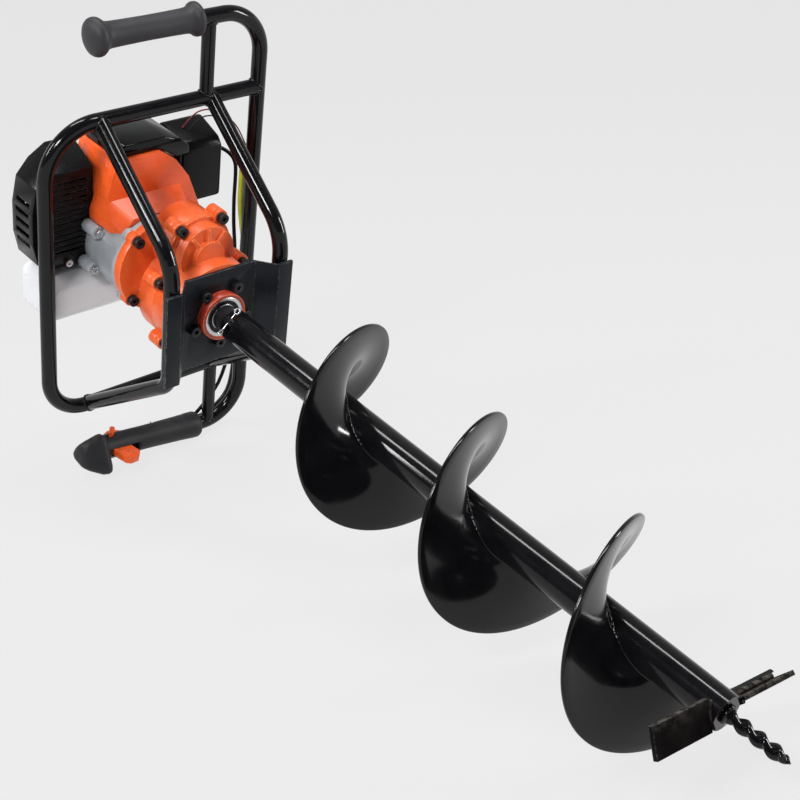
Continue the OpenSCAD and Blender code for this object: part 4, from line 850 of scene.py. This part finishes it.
# Weld beads where one tube's end meets another tube's side
beadSpec = {"main": (0, 1, 0), "radius": 9.5, "tube": 9.6, "rise": 0.2, "size": 1.5, "sides": 8,
            "steps": 72, "swell": (0.82, 0.26, pi / 4)}
weldSpecs = {
    "weld_strut_top": {"at": (-144, 72, 302), "branch": (0, 0, -1), "radius": 8.5},
    "weld_strut_foot": {"at": (-144, 72, 202), "branch": (0, 0, 1), "radius": 8.5},
    "weld_brace_left": {"at": (-144, -74, 202), "branch": (152.4, 0, -112)},
    "weld_brace_right": {"at": (-144, 79, 202), "branch": (152.4, 0, -112)},
    "weld_foot_left": {"at": (-144, -91, -184), "branch": (152.4, 17, 112)},
    "weld_foot_right": {"at": (-144, 96, -184), "branch": (152.4, -17, 112)},
    "weld_lower_top": {"at": (-144, 98, -184), "branch": (0, 0, -1), "radius": 8.5},
    "weld_lower_foot": {"at": (-144, 98, -284.9), "branch": (0, 0, 1), "main": (0, 1, -0.1228),
                        "radius": 8.5},
    "weld_loop_top": {"at": (-144, 148, 202), "branch": (0, -1, 0), "main": (0, 0, 1)},
    "weld_loop_foot": {"at": (-144, 148, -184), "branch": (0, -1, 0), "main": (0, 0, 1)},
}


def makeWeld(name, spec):
    branch, main = Vector(spec["branch"]).normalized(), Vector(spec["main"]).normalized()
    side = branch.cross(main).normalized()
    across = side.cross(branch)
    flatBranch = branch - branch.dot(main) * main
    route = []
    for k in range(spec["steps"] + 1):
        a = 2 * pi * k / spec["steps"]
        offset = (spec["radius"] + spec["rise"]) * (cos(a) * side + sin(a) * across)
        flatOffset = offset - offset.dot(main) * main
        p, q = flatBranch.dot(flatOffset), flatBranch.length_squared
        root = p * p - q * (flatOffset.length_squared - spec["tube"] ** 2)
        along = (-p + sqrt(max(root, 0))) / q
        route.append(Vector(spec["at"]) + offset + branch * along)
    bm = bmesh.new()
    sweptTube(bm, route, spec["size"], spec["sides"], beadSwell(*spec["swell"]))
    return finishPiece(name, bm, "machine", machineMatrix, sharp=60)


# Output bearing: steel outer ring, dark shield and steel inner ring
bearingSpecs = {
    "bearing_ring": {
        "finish": "steel",
        "profile": [(-3.9, 21.5), (-3.9, 25.95), (10.2, 25.95), (10.9, 25.3), (11, 24.6),
                    (11, 22.4), (10.4, 21.5)]},
    "bearing_shield": {
        "finish": "black_plastic",
        "profile": [(-2.5, 16.3), (-2.5, 21.4), (9.2, 21.4), (9.7, 20.8), (9.9, 19.5),
                    (9.5, 18.8), (9.9, 18.1), (9.6, 16.4)]},
    "bearing_inner": {
        "finish": "steel",
        "profile": [(-3, 12.56), (-3, 16.2), (9.6, 16.2), (10, 15.6), (10, 13.1), (9.6, 12.56)]},
}


def makeBearingPart(name, spec):
    bm = bmesh.new()
    spinProfile(bm, spec["profile"], steps=64)
    piece = finishPiece(name, bm, "machine", machineMatrix, sharp=40)
    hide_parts("output_bearing")
    return piece


# A darker red face on the gearbox boss round the bearing
bossFaceSpec = {"profile": [(1, 29.8), (1, 30.2), (10.3, 30.2), (11.2, 29.3), (11.2, 26.8),
                            (10.7, 26.2), (10.2, 26.2), (10.2, 29.2)]}


def makeBossFace(spec):
    bm = bmesh.new()
    spinProfile(bm, spec["profile"], steps=72)
    return finishPiece("boss_face", bm, "machine", machineMatrix, sharp=50)


paintPiece(makeRope(ropeSpec), "rope")
paintPiece(makeFoam(foamSpec), "filter_foam")
paintPiece(makeTriggerRibs(triggerRibSpec), "orange_plastic")
paintPiece(makeFlight(flightSpec), "frame_black")
paintPiece(makeFlightWeld(flightWeldSpec, flightSpec), "frame_black")
paintPiece(makeBladeWeld(bladeWeldSpec, flightSpec), "blade_steel")
paintPiece(makePilot(pilotSpec), "frame_black")
paintPiece(makeUpperGrip(upperGripSpec), "rubber")
for name, spec in weldSpecs.items():
    paintPiece(makeWeld(name, {**beadSpec, **spec}), "frame_black")
for name, spec in bearingSpecs.items():
    paintPiece(makeBearingPart(name, spec), spec["finish"])
paintPiece(makeBossFace(bossFaceSpec), "ring_red")
print("pieces made")

# Floor: pale paper with a low rim far out, which closes the horizon in low views
floorSpec = {"half": 40, "rim": 7, "level": -0.0005, "paper": (0.80, 0.80, 0.80, 1),
             "glow": (0.823, 0.823, 0.823, 1), "share": 0.93}
floorMesh = bmesh.new()
bmesh.ops.create_grid(floorMesh, x_segments=1, y_segments=1, size=floorSpec["half"])
rim = bmesh.ops.extrude_edge_only(floorMesh, edges=floorMesh.edges[:])["geom"]
rimCorners = [part for part in rim if isinstance(part, bmesh.types.BMVert)]
bmesh.ops.translate(floorMesh, verts=rimCorners, vec=(0, 0, floorSpec["rim"]))
floorData = bpy.data.meshes.new("floor")
floorMesh.to_mesh(floorData)
floorMesh.free()
floor = bpy.data.objects.new("floor", floorData)
floor.location.z = floorSpec["level"]
scene.collection.objects.link(floor)

# The eye and mirrors see an even pale tone, and a little of the shadow
paper = bpy.data.materials.new("floor_paper")
paper.use_nodes = True
tree = paper.node_tree
tree.nodes.remove(tree.nodes["Principled BSDF"])
ray = addNode(tree, "LightPath").outputs
seen = addMath(tree, "MAXIMUM", ray["Is Camera Ray"], ray["Is Glossy Ray"])
seen = addMath(tree, "MAXIMUM", seen, ray["Is Transmission Ray"])
share = addMath(tree, "MULTIPLY", seen, floorSpec["share"])
matte = addNode(tree, "BsdfDiffuse", {"Color": floorSpec["paper"]}).outputs[0]
glow = addNode(tree, "Emission", {"Color": floorSpec["glow"], "Strength": 1.0}).outputs[0]
mix = addNode(tree, "MixShader", {0: share, 1: matte, 2: glow})
tree.links.new(mix.outputs[0], tree.nodes["Material Output"].inputs["Surface"])
floor.data.materials.append(paper)

# Room light: pale behind the object, dim behind the camera
worldSpec = {"behind": (0.80, 0.81, 0.82, 1), "front": (0.10, 0.10, 0.11, 1), "turn": 0.5,
             "strength": 0.55}
world = bpy.data.worlds.new("studio")
world.use_nodes = True
scene.world = world
tree = world.node_tree
sky = addNode(tree, "TexCoord").outputs["Generated"]
facing = addDot(tree, sky, cameraSpec["back"])
nearness = addRange(tree, facing, -worldSpec["turn"], worldSpec["turn"])
room = addMix(tree, nearness, worldSpec["behind"], worldSpec["front"])
tree.links.new(room, tree.nodes["Background"].inputs["Color"])
tree.nodes["Background"].inputs["Strength"].default_value = worldSpec["strength"]

lampSpecs = {
    "key": {"place": (0.6, -1.9, 2.2), "aim": (-0.1, 0, 0.2), "size": (0.7, 0.45), "power": 50},
    "overhead": {"place": (-0.2, 0.3, 2.4), "aim": (0, 0, 0.1), "size": (2.4, 0.25), "power": 36},
    "left": {"place": (-1.2, -1.8, 1.75), "aim": (0, 0, 0.2), "size": (0.22, 0.75), "power": 19},
    "right": {"place": (1.45, 2.3, 1.0), "aim": (0.1, 0, 0.25), "size": (0.22, 1.3), "power": 36},
}
for name, spec in lampSpecs.items():
    data = bpy.data.lights.new(name, "AREA")
    data.shape = "RECTANGLE"
    data.size, data.size_y = spec["size"]
    data.energy = spec["power"]
    lamp = bpy.data.objects.new(name, data)
    lamp.location = spec["place"]
    lamp.rotation_mode = "QUATERNION"
    lamp.rotation_quaternion = (Vector(spec["aim"]) - lamp.location).to_track_quat("-Z", "Y")
    scene.collection.objects.link(lamp)
scene.view_settings.view_transform = "Standard"
print("stage lit")
